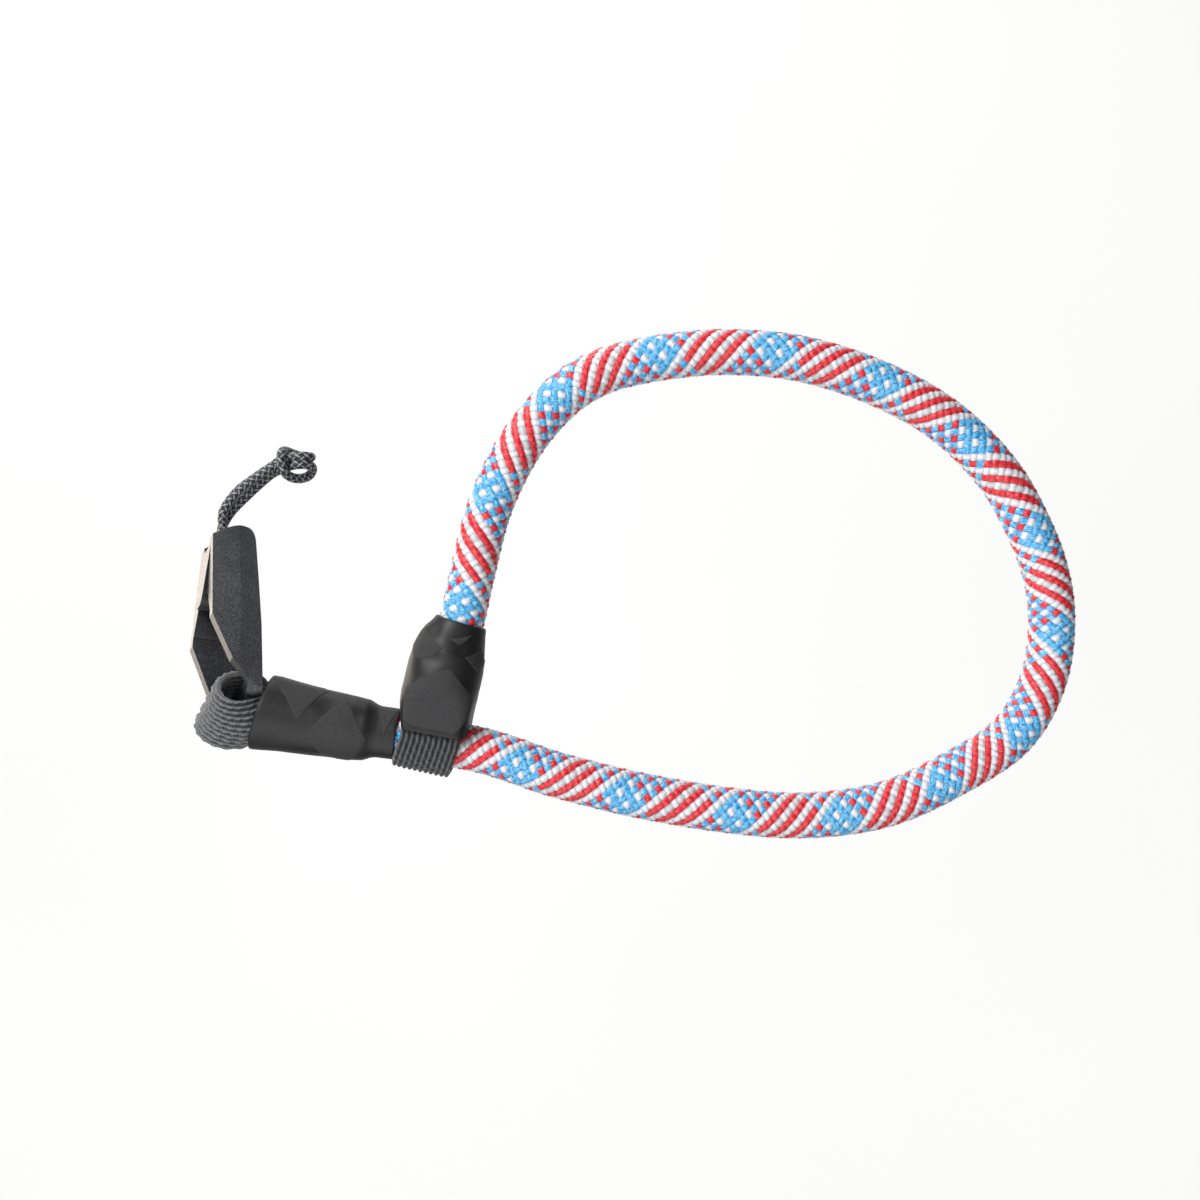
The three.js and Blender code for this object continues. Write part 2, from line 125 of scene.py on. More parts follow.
class Graph:
    """One procedural material that is made node by node."""

    def __init__(self, name: str) -> None:
        """Starts an empty material.

        Args:
            name: the material's name.
        """
        self.material = bpy.data.materials.new(name)
        self.material.use_nodes = True
        self.tree = self.material.node_tree
        self.tree.nodes.clear()

    def add(self, kind: str, inputs: dict[str | int, Any] | None = None, **settings: Any) -> bpy.types.Node:
        """Adds a node with its settings and links.

        Args:
            kind: the node's type name in Blender, without its ShaderNode prefix.
            inputs: a value, or a socket to link from, for each input named or numbered.
            settings: values of the node's own attributes.

        Returns:
            The new node.
        """
        made = self.tree.nodes.new("ShaderNode" + kind)
        for key, value in settings.items():
            setattr(made, key, value)
        for key, value in (inputs or {}).items():
            if isinstance(value, bpy.types.NodeSocket):
                self.tree.links.new(value, made.inputs[key])
            else:
                made.inputs[key].default_value = value
        return made

    def ramp(self, factor: bpy.types.NodeSocket, stops: list[tuple[float, str]]) -> bpy.types.NodeSocket:
        """Adds a colour ramp.

        Args:
            factor: the socket that drives it.
            stops: a position and an sRGB hex code for each stop.

        Returns:
            The ramp's colour socket.
        """
        made = self.add("ValToRGB", {"Fac": factor})
        elements = made.color_ramp.elements
        elements[0].position = stops[0][0]
        elements[0].color = linear(stops[0][1])
        elements[1].position = stops[-1][0]
        elements[1].color = linear(stops[-1][1])
        for position, code in stops[1:-1]:
            elements.new(position).color = linear(code)
        return made.outputs["Color"]

    def finish(self, **sockets: Any) -> bpy.types.Material:
        """Closes the graph with a Principled shader.

        Args:
            sockets: a value or a linked socket for each input, with underscores for the spaces in its name.

        Returns:
            The material.
        """
        named = {key.replace("_", " "): value for key, value in sockets.items()}
        shader = self.add("BsdfPrincipled", named)
        self.add("OutputMaterial", {"Surface": shader.outputs["BSDF"]})
        return self.material


@dataclass(frozen=True)
class BraidedYarn:
    """Polyamide 6 or polyester yarn, dyed and braided. Bright filaments run along each strand: pale streaks
    along it are a painted highlight of them, and the darker gaps between them painted shade. Its colour is
    painted darker towards the strand's edges, as painted shade where it dives under the next."""

    name: str
    crown: str
    edge: str
    filament_highlight: str | None = None  # painted highlight of the raised filaments
    filament_mm: float = 0.26  # real filaments are 0.03 mm, too fine to show, so bundles of them are drawn
    wobble_mm: float = 0.4545  # of the strand's painted edge shade, to and fro
    highlight_width_mm: float = 0.2222
    highlight_length_mm: float = 1.1111
    gloss: float = 0.42

    def make(self) -> bpy.types.Material:
        """Builds the yarn's material on the strand's own coordinates, in millimetres.

        Returns:
            The material.
        """
        graph = Graph(self.name)
        strand = graph.add("UVMap", uv_map="strand").outputs["UV"]
        wobble = graph.add(
            "TexNoise", {"Vector": strand, "Scale": 1 / self.wobble_mm, "Detail": 2.0}
        ).outputs["Fac"]
        filaments = graph.add(
            "TexWave",
            {"Vector": strand, "Scale": band_scale(self.filament_mm), "Distortion": 1.4, "Detail": 2.0},
            bands_direction="X",
        ).outputs["Fac"]
        across = graph.add("SeparateXYZ", {"Vector": strand}).outputs["X"]
        away = graph.add("Math", {0: across}, operation="ABSOLUTE").outputs[0]
        # Painted shade: the colour darkens towards the strand's edges, with a wobble.
        edge_shade = graph.add("Math", {0: wobble, 1: 0.30, 2: away}, operation="MULTIPLY_ADD").outputs[0]
        colour = graph.ramp(edge_shade, [(0.42, self.crown), (0.95, self.edge)])
        # Painted shade in the gaps between the filaments.
        gaps = graph.ramp(filaments, [(0.0, self.edge), (0.6, self.crown)])
        rows = graph.add("Mix", {"Factor": 0.25, "A": colour, "B": gaps}, data_type="RGBA")
        # Painted highlight: pale streaks along the filaments.
        if self.filament_highlight:
            grain = (1 / self.highlight_width_mm, 1 / self.highlight_length_mm, 1.0)
            drawn = graph.add("Mapping", {"Vector": strand, "Scale": grain})
            painted_highlight = graph.add("TexNoise", {"Vector": drawn.outputs["Vector"], "Scale": 1.0, "Detail": 3.0})
            share = graph.add("MapRange", {"Value": painted_highlight.outputs["Fac"], "From Min": 0.44, "From Max": 0.66})
            rows = graph.add(
                "Mix",
                {"Factor": share.outputs["Result"], "A": rows.outputs["Result"], "B": linear(self.filament_highlight)},
                data_type="RGBA",
            )
        bump = graph.add("Bump", {"Strength": 0.35, "Distance": 0.08 * MM, "Height": filaments})
        return graph.finish(
            Base_Color=rows.outputs["Result"],
            Roughness=self.gloss,
            IOR=1.53,
            Sheen_Weight=0.06,
            Sheen_Roughness=0.4,
            Normal=bump.outputs["Normal"],
        )


@dataclass(frozen=True)
class RibbedWebbing:
    """Nylon webbing, woven in heavy ribs. Each rib is crossed by close weft threads, so it looks like fine
    corduroy. Its colour is painted lighter on the ribs' crowns, a painted highlight, and darker in the valleys
    between them, a painted shade."""

    name: str
    # painted highlight: the ribs' crowns are coloured lighter, as where light catches them
    crown: str
    rib_mm: float
    ground: str = "#1D1E20"
    # painted shade: the dark colour of the valleys between the ribs
    valley_shade: str = "#070708"
    weft_mm: float = 0.62  # the real weft is about 0.4 mm and is drawn coarser to show
    fuzz_mm: float = 0.2

    def make(self) -> bpy.types.Material:
        """Builds the webbing's material on its own coordinates, across and along, in millimetres.

        Returns:
            The material.
        """
        graph = Graph(self.name)
        place = graph.add("UVMap", uv_map="strand").outputs["UV"]
        weft = graph.add(
            "TexWave",
            {
                "Vector": place,
                "Scale": band_scale(self.weft_mm),
                "Distortion": 1.2,
                "Detail": 3.0,
                "Detail Scale": 2.0,
            },
            bands_direction="Y",
        ).outputs["Fac"]
        fuzz = graph.add(
            "TexNoise", {"Vector": place, "Scale": 1 / self.fuzz_mm, "Detail": 6.0, "Roughness": 0.7}
        ).outputs["Fac"]
        rib = graph.add(
            "TexWave",
            {"Vector": place, "Scale": band_scale(self.rib_mm), "Phase Offset": math.pi / 2},
            bands_direction="X",
        ).outputs["Fac"]
        mixed = graph.add("Math", {0: fuzz, 1: 0.5, 2: -0.25}, operation="MULTIPLY_ADD").outputs[0]
        tone = graph.add("Math", {0: rib, 1: mixed}, operation="ADD").outputs[0]
        shade_and_weave = graph.add("Math", {0: weft, 1: 0.22, 2: tone}, operation="MULTIPLY_ADD").outputs[0]
        # Painted light and shade: the rib wave runs from the valleys' painted shade to the crowns' painted
        # highlight; weft and fuzz add the real texture.
        colour = graph.ramp(shade_and_weave, [(0.15, self.valley_shade), (0.62, self.ground), (1.05, self.crown)])
        relief = graph.add("Math", {0: fuzz, 1: 0.8, 2: weft}, operation="MULTIPLY_ADD").outputs[0]
        bump = graph.add("Bump", {"Strength": 0.6, "Distance": 0.12 * MM, "Height": relief})
        return graph.finish(
            Base_Color=colour,
            Roughness=0.78,
            IOR=1.53,
            Sheen_Weight=0.35,
            Sheen_Roughness=0.5,
            Normal=bump.outputs["Normal"],
        )


@dataclass(frozen=True)
class ShrunkSleeve:
    """Heat-shrunk polyolefin sleeve. It is smooth and satin between the raised pads, with faint draw marks where
    it was stretched."""

    name: str = "shrunk_polyolefin"
    body: str = "#0A0A0B"
    light: str = "#1A1A1B"
    grain_mm: float = 0.5
    cloud_mm: float = 4.5454  # of the drawn, duller patches

    def make(self) -> bpy.types.Material:
        """Builds the sleeve's ground.

        Returns:
            The material.
        """
        graph = Graph(self.name)
        place = graph.add("TexCoord").outputs["Object"]
        grain = graph.add("TexNoise", {"Vector": place, "Scale": 1 / (self.grain_mm * MM), "Detail": 4.0})
        cloud = graph.add("TexNoise", {"Vector": place, "Scale": 1 / (self.cloud_mm * MM), "Detail": 2.0})
        colour = graph.ramp(cloud.outputs["Fac"], [(0.35, self.body), (0.75, self.light)])
        bump = graph.add("Bump", {"Strength": 0.30, "Distance": 0.05 * MM, "Height": grain.outputs["Fac"]})
        rough = graph.add("MapRange", {"Value": cloud.outputs["Fac"], "To Min": 0.46, "To Max": 0.64})
        return graph.finish(
            Base_Color=colour,
            Roughness=rough.outputs["Result"],
            IOR=1.50,
            Normal=bump.outputs["Normal"],
        )


@dataclass(frozen=True)
class GrainedPad:
    """The sleeve's raised pads, pressed from polyolefin with a fine leather-like grain. They scatter light, so
    they read lighter and softer than the ground."""

    name: str = "grained_polyolefin"
    body: str = "#2A2A2B"
    light: str = "#3B3B3D"
    grain_mm: float = 0.32  # the real grain is near 0.15 mm and is drawn coarser to show
    speckle_mm: float = 0.38461

    def make(self) -> bpy.types.Material:
        """Builds the pads' material.

        Returns:
            The material.
        """
        graph = Graph(self.name)
        place = graph.add("TexCoord").outputs["Object"]
        grain = 1 / (self.grain_mm * MM)
        speckle = 1 / (self.speckle_mm * MM)
        cells = graph.add("TexVoronoi", {"Vector": place, "Scale": grain}, feature="F1").outputs["Distance"]
        speckle = graph.add("TexNoise", {"Vector": place, "Scale": speckle, "Detail": 3.0})
        colour = graph.ramp(speckle.outputs["Fac"], [(0.3, self.body), (0.8, self.light)])
        bump = graph.add("Bump", {"Strength": 0.55, "Distance": 0.06 * MM, "Height": cells})
        return graph.finish(
            Base_Color=colour,
            Roughness=0.82,
            IOR=1.50,
            Normal=bump.outputs["Normal"],
        )


@dataclass(frozen=True)
class GlassFilledNylon:
    """Glass-filled polyamide 66, injection moulded in a spark-eroded tool. The surface is a dark grey satin with
    a fine, even stipple. Its sparkle in raking light is painted as light specks in the colour, and its hollows
    are painted darker, a painted shade."""

    name: str
    body: str
    light: str
    # painted glint: colour of the stipple's lightest specks, standing in for its sparkle
    painted_glint: str
    hollow_shade: str = "#060607"  # painted shade of the hollows, where less light reaches
    rough: float = 0.42
    stipple_mm: float = 0.30  # the real spark texture is near 0.05 mm and is drawn coarser to show
    cloud_mm: float = 6.25  # of the faint flow marks
    hollow_mm: float = 14.0  # how wide a hollow may be and still get the painted shade

    def make(self) -> bpy.types.Material:
        """Builds the moulding's material.

        Returns:
            The material.
        """
        graph = Graph(self.name)
        place = graph.add("TexCoord").outputs["Object"]
        stipple = graph.add(
            "TexNoise", {"Vector": place, "Scale": 1 / (self.stipple_mm * MM), "Detail": 3.0}
        ).outputs["Fac"]
        cloud = graph.add("TexNoise", {"Vector": place, "Scale": 1 / (self.cloud_mm * MM), "Detail": 3.0})
        tone = graph.add("Mix", {"Factor": 0.1, "A": stipple, "B": cloud.outputs["Fac"]}).outputs["Result"]
        # Painted glints: the stipple's lightest specks take the glint colour.
        colour = graph.ramp(tone, [(0.36, self.body), (0.54, self.light), (0.64, self.painted_glint)])
        # Painted shade: the colour darkens towards the hollows' shade where ambient occlusion finds surfaces
        # close by.
        open_air = graph.add("AmbientOcclusion", {"Distance": self.hollow_mm * MM}, samples=8).outputs["AO"]
        share = graph.add(
            "MapRange", {"Value": open_air, "From Min": 0.45, "From Max": 0.95}
        ).outputs["Result"]
        shaded = graph.add(
            "Mix", {"Factor": share, "A": linear(self.hollow_shade), "B": colour}, data_type="RGBA"
        ).outputs["Result"]
        smoothest = self.rough - 0.14
        roughest = self.rough + 0.12
        rough = graph.add("MapRange", {"Value": stipple, "To Min": smoothest, "To Max": roughest})
        bump = graph.add("Bump", {"Strength": 0.5, "Distance": 0.05 * MM, "Height": stipple})
        return graph.finish(
            Base_Color=shaded,
            Roughness=rough.outputs["Result"],
            IOR=1.54,
            Normal=bump.outputs["Normal"],
        )


@dataclass(frozen=True)
class OpalPanel:
    """Opal acrylic panel, lit from behind, so that it is an even white with the faintest mottling."""

    name: str = "opal_acrylic_panel"
    colour: str = "#FDFDFC"
    mottled: str = "#FAFAF9"
    sheet: str = "#606060"  # the acrylic itself, unlit
    mottle_mm: float = 333.33
    glow: float = 0.88

    def make(self) -> bpy.types.Material:
        """Builds the panel's material.

        Returns:
            The material.
        """
        graph = Graph(self.name)
        place = graph.add("TexCoord").outputs["Object"]
        mottle = graph.add("TexNoise", {"Vector": place, "Scale": 1 / (self.mottle_mm * MM), "Detail": 2.0})
        colour = graph.ramp(mottle.outputs["Fac"], [(0.3, self.mottled), (0.7, self.colour)])
        return graph.finish(
            Base_Color=linear(self.sheet),
            Roughness=0.6,
            IOR=1.49,
            Emission_Color=colour,
            Emission_Strength=self.glow,
        )


class Yarn(Enum):
    """The yarns of the two braids, each with its finish."""

    # Each yarn's second colour is painted shade at its strand's edges, and its streak colour a painted highlight
    # on its filaments.
    WHITE = BraidedYarn("white_nylon_yarn", "#E9EAEE", "#979BA8", gloss=0.36)
    RED = BraidedYarn("red_nylon_yarn", "#E20C1C", "#7A0216", filament_highlight="#F05058", gloss=0.32)
    BLUE = BraidedYarn("blue_nylon_yarn", "#10A2E4", "#035296", filament_highlight="#9ADCFA", gloss=0.32)
    GREY = BraidedYarn("grey_nylon_yarn", "#D2D4D8", "#868990", gloss=0.36)
    BLACK = BraidedYarn("black_polyester_yarn", "#1A1B1D", "#060607", filament_mm=0.16, gloss=0.5)
    FLECK = BraidedYarn("flecked_polyester_yarn", "#9A9CA3", "#202124", filament_mm=0.16, gloss=0.5)


YARN_FINISHES = {yarn: yarn.value.make() for yarn in Yarn}
YARN_LETTERS = {
    "W": Yarn.WHITE,
    "R": Yarn.RED,
    "B": Yarn.BLUE,
    "G": Yarn.GREY,
    "K": Yarn.BLACK,
    "F": Yarn.FLECK,
}


def charted(letters: str) -> list[Yarn]:
    """Turns a chart's letters into yarns."""
    return [YARN_LETTERS[letter] for letter in letters]


def new_piece(
    name: str,
    vertices: np.ndarray,
    faces: list | np.ndarray,
    finishes: list[bpy.types.Material],
    face_finish: np.ndarray | None = None,
    uv: np.ndarray | None = None,
) -> bpy.types.Object:
    """Makes a smooth mesh object of the strap.

    Args:
        name: the piece's name.
        vertices: a row of X, Y and Z for each vertex, in metres.
        faces: the vertex numbers of each face.
        finishes: the materials.
        face_finish: which of them each face has, where there is more than one.
        uv: a row of two numbers for each corner of each face, for the map named strand.

    Returns:
        The object, linked to the scene.
    """
    mesh = bpy.data.meshes.new(name)
    mesh.from_pydata(vertices, [], faces if isinstance(faces, list) else faces.tolist())
    for finish in finishes:
        mesh.materials.append(finish)
    if face_finish is not None:
        mesh.polygons.foreach_set("material_index", np.asarray(face_finish, np.int32))
    if uv is not None:
        layer = mesh.uv_layers.new(name="strand")
        layer.data.foreach_set("uv", np.asarray(uv, np.float32).ravel())
    mesh.polygons.foreach_set("use_smooth", np.ones(len(mesh.polygons), bool))
    mesh.update()
    piece = bpy.data.objects.new(name, mesh)
    bpy.context.scene.collection.objects.link(piece)
    return piece


def keep_with(piece: bpy.types.Object, slot: str, *nodes: str) -> bpy.types.Object:
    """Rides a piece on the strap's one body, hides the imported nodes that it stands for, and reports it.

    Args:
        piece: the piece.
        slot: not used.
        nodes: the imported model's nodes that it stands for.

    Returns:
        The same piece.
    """
    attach(piece, "root")
    if nodes:
        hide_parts(*nodes)
    faces = len(piece.data.polygons) if piece.type == "MESH" else 0
    log.info("%s: %d faces", piece.name, faces)
    return piece


class Route:
    """A smooth curve through given points, measured by its length, with a normal that never twists."""

    def __init__(self, points: list[tuple[float, float, float]], normal: tuple[float, float, float]) -> None:
        """Fits the curve.

        Args:
            points: the points that it passes, in metres.
            normal: the direction that the normal has, or nearly has, at the start.
        """
        per_span = 40
        knots = np.array(points, float)
        knots = np.vstack([2 * knots[0] - knots[1], knots, 2 * knots[-1] - knots[-2]])
        samples = [knots[1:2]]
        for before, start, end, after in zip(knots, knots[1:], knots[2:], knots[3:]):
            spans = ((before, start), (start, end), (end, after))
            gaps = [math.sqrt(np.linalg.norm(q - p)) for p, q in spans]
            first = self._slope(before, start, end, gaps[0], gaps[1]) * gaps[1]
            last = self._slope(start, end, after, gaps[1], gaps[2]) * gaps[1]
            t = np.linspace(0, 1, per_span + 1)[1:, None]
            cubic = 2 * start - 2 * end + first + last
            square = -3 * start + 3 * end - 2 * first - last
            samples.append(start + first * t + square * t**2 + cubic * t**3)
        self.points = np.vstack(samples)
        steps = np.linalg.norm(np.diff(self.points, axis=0), axis=1)
        self.distances = np.concatenate([[0], np.cumsum(steps)])
        self.length = float(self.distances[-1])
        self.tangents = unit(np.gradient(self.points, self.distances, axis=0))
        self.normals = self._carried(np.array(normal, float))

    @staticmethod
    def _slope(p: np.ndarray, q: np.ndarray, r: np.ndarray, before: float, after: float) -> np.ndarray:
        """Returns a centripetal curve's slope at q, between p and r."""
        return (q - p) / before - (r - p) / (before + after) + (r - q) / after

    def _carried(self, normal: np.ndarray) -> np.ndarray:
        """Carries a normal along the curve without twist.

        Args:
            normal: its direction, or nearly so, at the start.

        Returns:
            A row of X, Y and Z for each point of the curve.
        """
        carried = []
        for tangent in self.tangents:
            normal = unit(normal - tangent * np.dot(normal, tangent))
            carried.append(normal)
        return np.array(carried)

    def frames(self, distances: np.ndarray) -> tuple[np.ndarray, np.ndarray, np.ndarray, np.ndarray]:
        """Reads the curve at distances from its start. Past either end it runs straight on.

        Args:
            distances: how far along the curve, in metres.

        Returns:
            The points, tangents, normals and inward directions, a row for each distance.
        """
        inside = np.clip(distances, 0, self.length)

        def read(values: np.ndarray) -> np.ndarray:
            """Reads one of the curve's tables at the distances."""
            return np.stack([np.interp(inside, self.distances, values[:, i]) for i in range(3)], axis=-1)

        tangents = unit(read(self.tangents))
        points = read(self.points) + tangents * (np.asarray(distances) - inside)[..., None]
        normals = read(self.normals)
        normals = unit(normals - tangents * np.sum(normals * tangents, axis=-1, keepdims=True))
        return points, tangents, normals, np.cross(normals, tangents)


@dataclass
class Braid:
    """A round braid of two families of strands, one over and one under, drawn as one skin.

    Forward strands turn towards the inward direction as they go along the route, and back strands turn away
    from it.
    """

    route: Route
    radius: float  # over the crowns
    pitch: float  # of one strand's full turn
    forward: list[Yarn]  # the yarn of each forward strand, in order along the route
    back: list[Yarn]
    crown: float  # height of a strand's rounding
    arch: float  # rise and fall of a strand over and under the others
    fineness: int = 6  # quads across one crossing
    turn: float = 0.0  # where the first crossing lies round the route, in degrees
    marks: tuple[float, ...] = ()  # where each further full turn ends, in metres, if the lay is uneven
    mark_turn: float = 0.0  # how many turns the strands have made at the first mark

    def turned(self, distance: float) -> float:
        """Counts the strands' turns.

        Args:
            distance: how far along the route, in metres.

        Returns:
            How many turns the strands have made there.
        """
        if not self.marks:
            return distance / self.pitch
        places, turns = self._lay()
        return float(np.interp(distance, places, turns))

    def reached(self, turns: np.ndarray) -> np.ndarray:
        """Finds where the strands have made so many turns.

        Args:
            turns: how many.

        Returns:
            How far along the route each lies, in metres.
        """
        if not self.marks:
            return turns * self.pitch
        places, counted = self._lay()
        return np.interp(turns, counted, places)

    def _lay(self) -> tuple[np.ndarray, np.ndarray]:
        """Carries the marks on at the plain pitch past both ends.

        Returns:
            The marks' places in metres, and the turns made at each.
        """
        beyond = 3
        before = self.marks[0] - self.pitch * np.arange(beyond, 0, -1)
        after = self.marks[-1] + self.pitch * np.arange(1, beyond + 1)
        places = np.concatenate([before, self.marks, after])
        return places, self.mark_turn + np.arange(len(places)) - beyond

    def heights(self, a: np.ndarray, b: np.ndarray) -> tuple[np.ndarray, np.ndarray]:
        """Works out how high the strands stand at places in the lattice.

        Args:
            a: each place counted across the forward strands, whole on a strand's middle.
            b: the same across the back strands.

        Returns:
            The forward strand's height there and the back strand's.
        """
        forward_row = np.round(a)
        back_row = np.round(b)
        forward_crown = np.sqrt(np.clip(1 - (2 * (a - forward_row)) ** 2, 0, 1))
        back_crown = np.sqrt(np.clip(1 - (2 * (b - back_row)) ** 2, 0, 1))
        forward_sign = 1 - 2 * np.mod(forward_row, 2)
        back_sign = 1 - 2 * np.mod(back_row, 2)
        forward = self.crown * forward_crown - self.arch * forward_sign * np.cos(np.pi * b)
        back = self.crown * back_crown + self.arch * back_sign * np.cos(np.pi * a)
        return forward, back

    def build(self, name: str, begin: float, end: float) -> bpy.types.Object:
        """Builds the braid's skin over a stretch of the route.

        Args:
            name: the piece's name.
            begin: where the stretch begins, in metres along the route.
            end: where it ends.

        Returns:
            A closed mesh.
        """
        around = len(self.forward) * self.fineness
        per_turn = 2 * around
        first = math.ceil(self.turned(begin) * per_turn)
        last = math.floor(self.turned(end) * per_turn)
        rows = np.arange(first, last + 1)
        m = np.repeat(rows, around)
        k = 2 * np.tile(np.arange(around), len(rows)) + np.mod(m, 2)
        faces = self._diamonds(rows, around)
        lowest = faces[:, 0]
        finish, uv = self._woven(m[lowest], k[lowest])
        faces, finish, uv, vertices = self._capped(faces, finish, uv, self._skin(m, k), rows)
        return new_piece(name, vertices, faces, [YARN_FINISHES[y] for y in self._yarns()], finish, uv)

    def _yarns(self) -> list[Yarn]:
        """Returns each yarn of the braid once."""
        return list(dict.fromkeys(self.forward + self.back))

    def _skin(self, m: np.ndarray, k: np.ndarray) -> np.ndarray:
        """Places the lattice's points on the braid.

        Args:
            m: the row of each point along the braid.
            k: its column round the braid, two to a face.

        Returns:
            A row of X, Y and Z for each point.
        """
        per_turn = 2 * len(self.forward) * self.fineness
        a = (m - k) / (2 * self.fineness)
        b = (m + k) / (2 * self.fineness)
        height = np.maximum(*self.heights(a, b))
        angle = np.radians(self.turn + k * 360 / per_turn)
        points, _, normals, inward = self.route.frames(self.reached(m / per_turn))
        reach = self.radius - self.crown - self.arch + height
        out = normals * np.cos(angle)[:, None] + inward * np.sin(angle)[:, None]
        return points + out * reach[:, None]

    @staticmethod
    def _diamonds(rows: np.ndarray, around: int) -> np.ndarray:
        """Joins the lattice's points into diamond faces.

        Args:
            rows: the number of each row along the braid.
            around: how many points a row has.

        Returns:
            The low, right, high and left point of each face.
        """
        low = np.arange((len(rows) - 2) * around)
        row = low // around
        spot = low % around
        odd = np.mod(rows[row], 2)
        left = (row + 1) * around + (spot - 1 + odd) % around
        right = (row + 1) * around + (spot + odd) % around
        high = (row + 2) * around + spot
        return np.stack([low, right, high, left], axis=1)

    def _woven(self, m: np.ndarray, k: np.ndarray) -> tuple[np.ndarray, np.ndarray]:
        """Works out which yarn shows on each face, and where on its strand the face lies.

        Args:
            m: the row of each face's low point.
            k: the column of that point.

        Returns:
            The yarn's number for each face, and its corners' places across and along the strand, in
            millimetres.
        """
        carriers = len(self.forward)
        corner_m = m[:, None] + np.array([0, 1, 2, 1])
        corner_k = k[:, None] + np.array([0, 1, 0, -1])
        corner_a = (corner_m - corner_k) / (2 * self.fineness)
        corner_b = (corner_m + corner_k) / (2 * self.fineness)
        middle_a = corner_a.mean(axis=1)
        middle_b = corner_b.mean(axis=1)
        over_forward, over_back = self.heights(middle_a, middle_b)
        is_forward = over_forward > over_back
        strand_forward = np.mod(np.round(middle_a), carriers).astype(int)
        strand_back = np.mod(np.round(middle_b), carriers).astype(int)
        yarns = self._yarns()
        forward_yarn = np.array([yarns.index(y) for y in self.forward])
        back_yarn = np.array([yarns.index(y) for y in self.back])
        finish = np.where(is_forward, forward_yarn[strand_forward], back_yarn[strand_back])

        step_along = self.pitch / (2 * carriers)
        step_round = math.pi * self.radius / carriers
        strand_step = math.hypot(step_along, step_round)
        width = 2 * step_along * step_round / strand_step
        across = np.where(
            is_forward[:, None],
            corner_a - np.round(middle_a)[:, None],
            corner_b - np.round(middle_b)[:, None],
        )
        along = np.where(is_forward[:, None], corner_b, corner_a)
        return finish, np.stack([across * width / MM, along * strand_step / MM], axis=-1)

    @staticmethod
    def _capped(
        faces: np.ndarray,
        finish: np.ndarray,
        uv: np.ndarray,
        vertices: np.ndarray,
        rows: np.ndarray,
    ) -> tuple[list, np.ndarray, np.ndarray, np.ndarray]:
        """Closes both ends of the skin with a fan.

        Args:
            faces: the skin's faces.
            finish: the yarn's number for each face.
            uv: the places of the faces' corners.
            vertices: the skin's points.
            rows: the number of each row of points.

        Returns:
            The same faces, finish and uv with the fans' added, and the vertices with the fans' middles.
        """
        count = len(rows)
        around = len(vertices) // count
        closed = faces.tolist()
        extra = []
        for edge, beside, flip in ((0, 1, True), (count - 1, count - 2, False)):
            centre = len(vertices) + len(extra)
            extra.append(vertices[edge * around : (edge + 1) * around].mean(axis=0))
            odd = int(rows[edge]) % 2
            for spot in range(around):
                here = edge * around + spot
                following = edge * around + (spot + 1) % around
                between = beside * around + (spot + odd) % around
                for triangle in ((here, between, centre), (between, following, centre)):
                    closed.append(triangle[::-1] if flip else triangle)
        added = len(closed) - len(faces)
        finish = np.concatenate([finish, np.zeros(added, int)])
        uv = np.vstack([uv.reshape(-1, 2), np.zeros((3 * added, 2))])
        return closed, finish, uv, np.vstack([vertices, extra])


@dataclass
class ClimbingRope:
    """The noose: a 10 mm kernmantle rope, white with red and blue spirals."""

    diameter: float = 10 * MM
    core_diameter: float = 8.7 * MM
    core_points: int = 240
    pitch: float = 23.45 * MM
    strand_crown: float = 0.46 * MM  # height of a strand's rounding
    strand_arch: float = 0.20 * MM  # its rise and fall over and under the others
    turn: float = -87.0
    blue_turn: float = 11.5 / 12  # share of a turn at which the middle of the blue patch faces the front
    hidden: float = 13 * MM  # at each end, where a collar covers the sheath
    overlap: float = 0.3 * MM  # of the sheath's two pieces, half way round
    route: Route = field(
        default_factory=lambda: Route([(x, ROPE_PLANE_Y, z) for x, z in ROPE_ROUTE], (0.0, -1.0, 0.0))
    )

    def core(self) -> bpy.types.Object:
        """Makes the core, a curve along the whole route, which stands for the rope as a cord.

        Returns:
            The curve's object.
        """
        curve = bpy.data.curves.new("rope_core", "CURVE")
        curve.dimensions = "3D"
        curve.bevel_depth = self.core_diameter / 2
        curve.bevel_resolution = 6
        curve.use_fill_caps = True
        curve.materials.append(YARN_FINISHES[Yarn.GREY])
        points = self.route.frames(np.linspace(0, self.route.length, self.core_points))[0]
        spline = curve.splines.new("POLY")
        spline.points.add(len(points) - 1)
        for knot, point in zip(spline.points, points):
            knot.co = (*point, 1)
        core = bpy.data.objects.new("rope_core", curve)
        bpy.context.scene.collection.objects.link(core)
        return keep_with(core, "rope", "rope")

    def sheath(self) -> list[bpy.types.Object]:
        """Braids the sheath in two pieces that meet half way round the noose.

        Returns:
            The two pieces.
        """
        braid = Braid(
            route=self.route,
            radius=self.diameter / 2,
            pitch=self.pitch,
            forward=charted(ROPE_CHART_FORWARD),
            back=charted(ROPE_CHART_BACK),
            crown=self.strand_crown,
            arch=self.strand_arch,
            turn=self.turn,
            marks=tuple(mark * MM for mark in ROPE_BLUE_MARKS),
            mark_turn=self.blue_turn,
        )
        half = self.route.length / 2
        first = braid.build("rope_sheath_lower", self.hidden, half + self.overlap)
        second = braid.build("rope_sheath_upper", half, self.route.length - self.hidden)
        return [keep_with(first, "rope"), keep_with(second, "rope")]

    def build(self) -> None:
        core = self.core()
        pieces = self.sheath()


